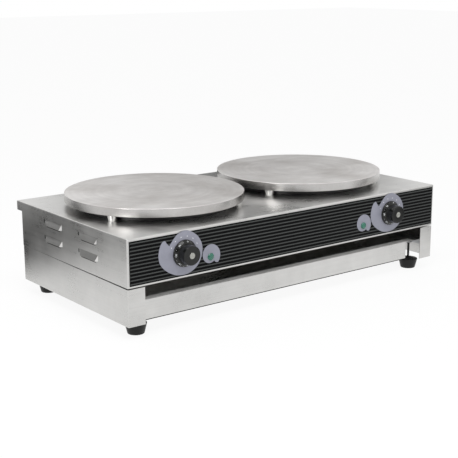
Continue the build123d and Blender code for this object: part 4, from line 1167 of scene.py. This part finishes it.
class CREPE_OT_knobs(bpy.types.Operator):
    """Knobs with a conical skirt, numerals and a bright disc"""

    bl_idname = "crepe.knobs"
    bl_label = "Knobs"

    def execute(self, context):
        own = settings().controls
        ticks = tick_arc()
        for side in SIDES:
            low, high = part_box(f"knob_{side}")
            cap_low, cap_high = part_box(f"knob_cap_{side}")
            cap = centre_of(f"knob_cap_{side}")
            place = facing_front(cap.x, cap.z)
            skirt = (high.x - low.x) / 2
            seat = FRONT - cap_high.y
            outline = self.outline(own, skirt, FRONT - high.y, seat, FRONT - low.y)
            mesh = turned(f"knob_{side}_turned", outline, segments=96)
            mesh.transform(place)
            fitted(f"turned_knob_{side}", mesh, f"knob_{side}", "black_gloss", f"knob_{side}")
            self.print_on_skirt(own, ticks, side, skirt, FRONT - high.y, place)
            crown = FRONT - cap_low.y
            disc = turned(f"cap_{side}", self.disc_outline(seat, crown), segments=64)
            disc.transform(place)
            slot = bmesh.new()
            across = Matrix.Translation((cap.x, FRONT - crown, cap.z)) @ Matrix.Rotation(SLOT_TURN, 4, "Y")
            cuboid(slot, across, SLOT)
            slotted = cut_away(show(f"knob_disc_{side}", disc, [finish_for("bright_cap")]), slot)
            fit(slotted, f"knob_{side}", "bright_cap", f"knob_cap_{side}")
        return {"FINISHED"}

    def outline(self, own, skirt, back, seat, top):
        """The knob's section, from its seat over the grip and the skirt to the shaft's bore."""
        edge, shoulder = back + SKIRT_EDGE, back + SHOULDER
        hollow, bore = back + HOLLOW_DEPTH, back + BORE_DEPTH
        front = [(0, seat), (SEAT_RADIUS, seat), (SEAT_RADIUS, top), (own.face_radius, top)]
        front += [(own.grip_radius, shoulder), (own.neck_radius, shoulder), (skirt, edge), (skirt, back)]
        rear = [(skirt, back), (HOLLOW_RADIUS, back), (HOLLOW_RADIUS, hollow), (BOSS_RADIUS, hollow)]
        rear += [(BOSS_RADIUS, back), (BORE_RADIUS, back), (BORE_RADIUS, bore), (0, bore)]
        return eased(front, KNOB_ROUND, steps=6) + eased(rear, HOLLOW_ROUND, steps=2)[1:]

    def print_on_skirt(self, own, ticks, side, skirt, back, place):
        """Numerals round the skirt's cone and a stroke between each two of them."""
        slope = math.atan2(SHOULDER - SKIRT_EDGE, skirt - own.neck_radius)
        gaps = len(NUMERALS) - 1

        def cone(radius):
            return back + SKIRT_EDGE + (skirt - radius) * math.tan(slope), slope

        texts = []
        for step, text in enumerate(NUMERALS):
            turn = own.first_number + own.turn * step / gaps
            texts.append(wrapped_text(text, own.number_height, own.number_radius, turn, cone))
        numerals = merged(f"knob_numerals_{side}", texts, "marks")
        half_gap = own.turn / gaps / 2
        strokes = grown(
            f"knob_ticks_{side}", ticks, "marks", count=gaps, first_angle=own.first_number + half_gap,
            last_angle=own.first_number + own.turn - half_gap, radius=own.tick_radius,
            height=cone(own.tick_radius)[0], tilt=slope, mark=(*TICK, own.print_thickness * 2),
        )
        for made in (numerals, strokes):
            made.data.transform(place)
            fit(made, f"knob_{side}", "black_gloss")

    def disc_outline(self, seat, crown):
        grooves = [(0, seat), (DISC_RADIUS, seat), (DISC_RADIUS, crown - DISC_CHAMFER)]
        grooves.append((DISC_RADIUS - DISC_CHAMFER, crown))
        for ring in range(GROOVES):
            outer = FIRST_GROOVE - ring * GROOVE_PITCH
            grooves += [(outer, crown), (outer - GROOVE_HALF, crown - GROOVE_DEPTH)]
            grooves.append((outer - 2 * GROOVE_HALF, crown))
        return [*grooves, (0, crown)]


DOME_SHARE = 0.94  # the dome's radius as a share of the lens's
DOME_STEPS = 12


class CREPE_OT_lamps(bpy.types.Operator):
    """Green signal lamps with a domed lens"""

    bl_idname = "crepe.lamps"
    bl_label = "Signal lamps"

    def execute(self, context):
        own = settings().controls
        radius = own.lens_radius
        dome_radius = radius * DOME_SHARE
        for side in SIDES:
            low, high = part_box(f"lamp_lens_{side}")
            centre = (low + high) / 2
            base, top = FRONT - high.y, FRONT - low.y
            flange = base + own.lens_flange
            outline = [(0, base), (radius, base), (radius, flange)]
            for step in range(1, DOME_STEPS):
                turn = step / DOME_STEPS * math.pi / 2
                outline.append((dome_radius * math.cos(turn), flange + (top - flange) * math.sin(turn)))
            outline.append((0, top))
            mesh = turned(f"lens_{side}", outline, segments=64)
            mesh.transform(facing_front(centre.x - own.lens_shift, centre.z))
            fitted(f"domed_lens_{side}", mesh, "machine", "green_lens", f"lamp_lens_{side}")
        return {"FINISHED"}


class CREPE_OT_feet(bpy.types.Operator):
    """Moulded feet on threaded studs"""

    bl_idname = "crepe.feet"
    bl_label = "Feet"

    def execute(self, context):
        own = settings().feet
        collar_top = own.pad_height + own.cone_height
        buried = collar_top - own.stud_buried
        root = own.stud_radius - own.thread_ridge
        thread = screw_thread()
        for place in (f"{end}_{side}" for end in ENDS for side in SIDES):
            low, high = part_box(f"foot_stud_{place}")
            centre = (low + high) / 2
            shift = Matrix.Translation((centre.x, centre.y, 0))
            body = f"foot_{place}"
            pad = [(0, 0), (own.floor_radius, 0), (own.pad_radius, own.pad_height)]
            pad += [(own.cone_radius, own.pad_height), (own.collar_radius, collar_top)]
            pad += [(own.stud_radius, collar_top), (own.stud_radius, buried), (0, buried)]
            mesh = turned(f"pad_{place}", eased(pad, own.pad_round, steps=5), segments=72)
            mesh.transform(shift)
            fitted(f"moulded_pad_{place}", mesh, body, "black_rubber", f"foot_pad_{place}")
            core = [(0, low.z), (root, low.z), (root, high.z - own.stud_chamfer)]
            core += [(root - own.stud_chamfer, high.z), (0, high.z)]
            mesh = turned(f"stud_{place}", core, segments=32)
            mesh.transform(shift)
            fitted(f"stud_core_{place}", mesh, body, "zinc", f"foot_stud_{place}", finish="blackened")
            run = high.z - low.z - 2 * own.thread_end
            start = (centre.x, centre.y, low.z + own.thread_end)
            wound = grown(
                f"stud_thread_{place}", thread, "blackened", root_radius=root, ridge=own.thread_ridge,
                turns=run / own.thread_pitch, height=run, centre=start,
            )
            fit(wound, body, "zinc")
        return {"FINISHED"}


# a cross-head screw along Z, and the two bars cut into its head, as length, width and twice their depth
HEAD_RADIUS, HEAD_HEIGHT = 4 * MM, 2.4 * MM
SHANK_RADIUS, SHANK_LENGTH = 2 * MM, 8 * MM
CROSS_BAR = (4.4 * MM, 0.9 * MM, 2.2 * MM)
# the head's rim, crown and edges, as shares of its height and radius and as a radius
RIM_SHARE, CROWN_SHARES, HEAD_ROUND = 0.45, (0.72, 0.93), 0.5 * MM
SCREW_COUNT = 5
# the gland's edges, and the small flutes round its nut
GLAND_FOLD = 0.4 * MM
FLUTE_COUNT, FLUTE_CIRCLE, FLUTE_OUT = 18, 11 * MM, 8.8 * MM
FLUTE_SIZE = (0.5 * MM, 0.7 * MM, 3.4 * MM)


class CREPE_OT_fixings(bpy.types.Operator):
    """Cross-head screws in the rear panel, and the cable gland"""

    bl_idname = "crepe.fixings"
    bl_label = "Fixings"

    def execute(self, context):
        self.rear_screws()
        self.cable_gland()
        return {"FINISHED"}

    def rear_screws(self):
        low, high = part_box("rear_screws")
        outline = [(0, -SHANK_LENGTH), (SHANK_RADIUS, -SHANK_LENGTH), (SHANK_RADIUS, 0), (HEAD_RADIUS, 0)]
        outline.append((HEAD_RADIUS, HEAD_HEIGHT * RIM_SHARE))
        outline.append((HEAD_RADIUS * CROWN_SHARES[0], HEAD_HEIGHT * CROWN_SHARES[1]))
        outline = eased([*outline, (0, HEAD_HEIGHT)], HEAD_ROUND, steps=3)
        screw = show("screw_pattern", turned("screw", outline, segments=32))
        cross = bmesh.new()
        for turn in (0, math.pi / 2):
            cuboid(cross, Matrix.Translation((0, 0, HEAD_HEIGHT)) @ Matrix.Rotation(turn, 4, "Z"), CROSS_BAR)
        cut_away(screw, cross)
        screw.data.transform(Matrix.Rotation(-math.pi / 2, 4, "X"))
        step = (high.x - low.x - 2 * HEAD_RADIUS) / (SCREW_COUNT - 1)
        screws = grown(
            "rear_screw_row", row_pattern(), "zinc", piece=screw, count=SCREW_COUNT,
            start=(low.x + HEAD_RADIUS, REAR, (low.z + high.z) / 2), step=(step, 0, 0),
        )
        fit(screws, "machine", "zinc", "rear_screws")
        bpy.data.objects.remove(screw)

    def cable_gland(self):
        folded("cable_gland", "machine", "black_plastic", GLAND_FOLD)
        gland = centre_of("cable_gland")
        flute = bmesh.new()
        bmesh.ops.create_uvsphere(flute, u_segments=10, v_segments=8, radius=1)
        bmesh.ops.transform(flute, matrix=Matrix.Diagonal((*FLUTE_SIZE, 1)), verts=flute.verts)
        pattern = show("flute_pattern", smooth(as_mesh(flute, "flute")))
        flutes = grown(
            "gland_flutes", round_pattern(), "black_plastic", piece=pattern, count=FLUTE_COUNT,
            radius=FLUTE_CIRCLE, first_angle=0.0, centre=(0, 0, FLUTE_OUT),
        )
        flutes.data.transform(facing_rear(gland.x, gland.z))
        fit(flutes, "machine", "black_plastic")
        bpy.data.objects.remove(pattern)


# ---------------------------------------------------------------- stage
# cards as place, turn in degrees, size, grey and how much of the card fades out
CARDS = {
    "grey_card_left": ((-0.95, 0.82, 0.003), (0, 0, 0), (1.0, 1.6), 0.12, 0.6),
    "dark_card_left": ((-0.63, 0.62, 0.006), (0, 0, 20), (0.56, 0.84), 0.01, 0.8),
    "grey_card_far_left": ((-1.75, 2.3, 0.3), (90, 0, 30), (3.6, 2.6), 0.3, 0.4),
    "dark_card_behind": ((0.75, 1.2, 0.003), (0, 0, 0), (2.0, 1.8), 0.012, 0.5),
    "low_card_behind": ((1.75, 2.25, 0.7), (90, 0, -38), (2.2, 2.4), 0.015, 0.5),
    "dark_card_right": ((1.25, -0.6, 0.003), (0, 0, 0), (1.5, 1.0), 0.03, 0.7),
    "dark_card_camera_side": ((-2.2, -2.6, 1.3), (90, 0, -40), (4.0, 2.0), 0.03, 0.4),
}
CAMERA_PLACE = (-1.4920, -1.8952, 0.7108)
CAMERA_TURNS = (("Z", -37.816), ("X", 76.272), ("Z", -0.093))
LENS, SENSOR = 82.706, 36.0  # in millimetres


def white_to_the_eye(tree, own_light, strength):
    """Mixes in plain white for what the camera, a reflection or a clear body sees."""
    path = node(tree, "ShaderNodeLightPath")
    seen = math_node(tree, "ADD", path.outputs["Is Camera Ray"], path.outputs["Is Glossy Ray"])
    seen = math_node(tree, "ADD", seen, path.outputs["Is Transmission Ray"], clamp=True)
    white = node(tree, "ShaderNodeEmission", {"Color": (1, 1, 1, 1), "Strength": 1.0})
    factor = math_node(tree, "MULTIPLY", seen, strength)
    return node(tree, "ShaderNodeMixShader", {0: factor, 1: own_light, 2: white.outputs[0]}).outputs[0]


def sheet_of(name, size):
    """A square on the ground."""
    form = bmesh.new()
    bmesh.ops.create_grid(form, x_segments=1, y_segments=1, size=size)
    return show(name, as_mesh(form, name))


def lamp(name, place, aim, size, watts):
    """A rectangular lamp that is aimed at a point."""
    light = bpy.data.lights.new(name, "AREA")
    light.shape = "RECTANGLE"
    light.size, light.size_y = size
    light.energy = watts
    obj = show(name, light)
    obj.location = place
    obj.rotation_euler = (Vector(aim) - Vector(place)).to_track_quat("-Z", "Y").to_euler()


def card(name, place, turn, size, grey, soft):
    """A studio card that only reflections see, fading out towards its edges."""
    obj = sheet_of(name, 0.5)
    obj.location = place
    obj.rotation_euler = [math.radians(degrees) for degrees in turn]
    obj.scale = (*size, 1)
    cloth, tree = blank_material(name)
    spot = node(tree, "ShaderNodeTexCoord").outputs["Object"]
    away = vector_math(tree, "LENGTH", spot)["Value"]
    fade = {"Value": away, "From Min": 0.5, "From Max": 0.5 * (1 - soft)}
    cover = node(tree, "ShaderNodeMapRange", fade, interpolation_type="SMOOTHSTEP").outputs[0]
    dark = node(tree, "ShaderNodeEmission", {"Color": (grey, grey, grey, 1)}).outputs[0]
    clear = node(tree, "ShaderNodeBsdfTransparent").outputs[0]
    shown_by(tree, node(tree, "ShaderNodeMixShader", {0: cover, 1: clear, 2: dark}).outputs[0])
    obj.data.materials.append(cloth)
    for kind in ("camera", "diffuse", "shadow", "transmission", "volume_scatter"):
        setattr(obj, "visible_" + kind, False)


class CREPE_OT_stage(bpy.types.Operator):
    """Pale floor, soft light and the camera"""

    bl_idname = "crepe.stage"
    bl_label = "Stage"

    def execute(self, context):
        own = settings().stage
        scene = context.scene
        scene.view_settings.view_transform = "Standard"
        self.floor(own)
        self.sky(own, scene)
        lamp("key_lamp", (-0.6, -0.9, 2.4), (0, 0, 0.2), (1.8, 1.2), own.key)
        lamp("side_lamp", (-2.2, -0.7, 1.0), (-0.1, -0.2, 0.15), (0.5, 1.0), own.side)
        for name, values in CARDS.items():
            card(name, *values)
        self.camera(scene)
        return {"FINISHED"}

    def floor(self, own):
        floor = sheet_of("floor", 14)
        ground, tree = blank_material("floor_white")
        matt = node(tree, "ShaderNodeBsdfDiffuse", {"Color": (*own.floor, 1)})
        shown_by(tree, white_to_the_eye(tree, matt.outputs[0], 1 - own.shadow))
        floor.data.materials.append(ground)

    def sky(self, own, scene):
        scene.world = bpy.data.worlds.new("studio")
        scene.world.use_nodes = True
        tree = scene.world.node_tree
        tree.nodes.clear()
        light = node(tree, "ShaderNodeBackground", {"Color": (1, 1, 1, 1), "Strength": own.sky})
        shown_by(tree, white_to_the_eye(tree, light.outputs[0], 1.0), "ShaderNodeOutputWorld")

    def camera(self, scene):
        eye = bpy.data.cameras.new("camera")
        eye.sensor_width = SENSOR
        eye.lens = LENS
        eye.clip_start, eye.clip_end = 0.05, 60.0
        camera = show("camera", eye)
        turn = Matrix.Identity(4)
        for axis, degrees in CAMERA_TURNS:
            turn @= Matrix.Rotation(math.radians(degrees), 4, axis)
        camera.matrix_world = Matrix.Translation(CAMERA_PLACE) @ turn
        scene.camera = camera


OPERATORS = (
    CREPE_OT_stage,
    CREPE_OT_plain_nodes,
    CREPE_OT_sheet_metal,
    CREPE_OT_cooking_plates,
    CREPE_OT_heater_pans,
    CREPE_OT_plate_posts,
    CREPE_OT_control_panel,
    CREPE_OT_dials,
    CREPE_OT_knobs,
    CREPE_OT_lamps,
    CREPE_OT_feet,
    CREPE_OT_fixings,
)


class CREPE_PT_panel(bpy.types.Panel):
    """Lists the pieces of the crepe maker"""

    bl_idname = "CREPE_PT_panel"
    bl_label = "Crepe maker"
    bl_space_type = "VIEW_3D"
    bl_region_type = "UI"
    bl_category = "Crepe maker"

    def draw(self, context):
        for operator in OPERATORS:
            self.layout.operator(operator.bl_idname)


CLASSES = (
    CREPE_PG_sheet,
    CREPE_PG_plates,
    CREPE_PG_pans,
    CREPE_PG_posts,
    CREPE_PG_panel,
    CREPE_PG_controls,
    CREPE_PG_feet,
    CREPE_PG_stage,
    CREPE_PG_all,
    *OPERATORS,
    CREPE_PT_panel,
)


def register():
    for cls in CLASSES:
        bpy.utils.register_class(cls)
    bpy.types.Scene.crepe_maker = bpy.props.PointerProperty(type=CREPE_PG_all)


def unregister():
    del bpy.types.Scene.crepe_maker
    for cls in reversed(CLASSES):
        bpy.utils.unregister_class(cls)


def main():
    register()
    for operator in OPERATORS:
        group, name = operator.bl_idname.split(".")
        getattr(getattr(bpy.ops, group), name)()


if __name__ == "__main__":
    main()
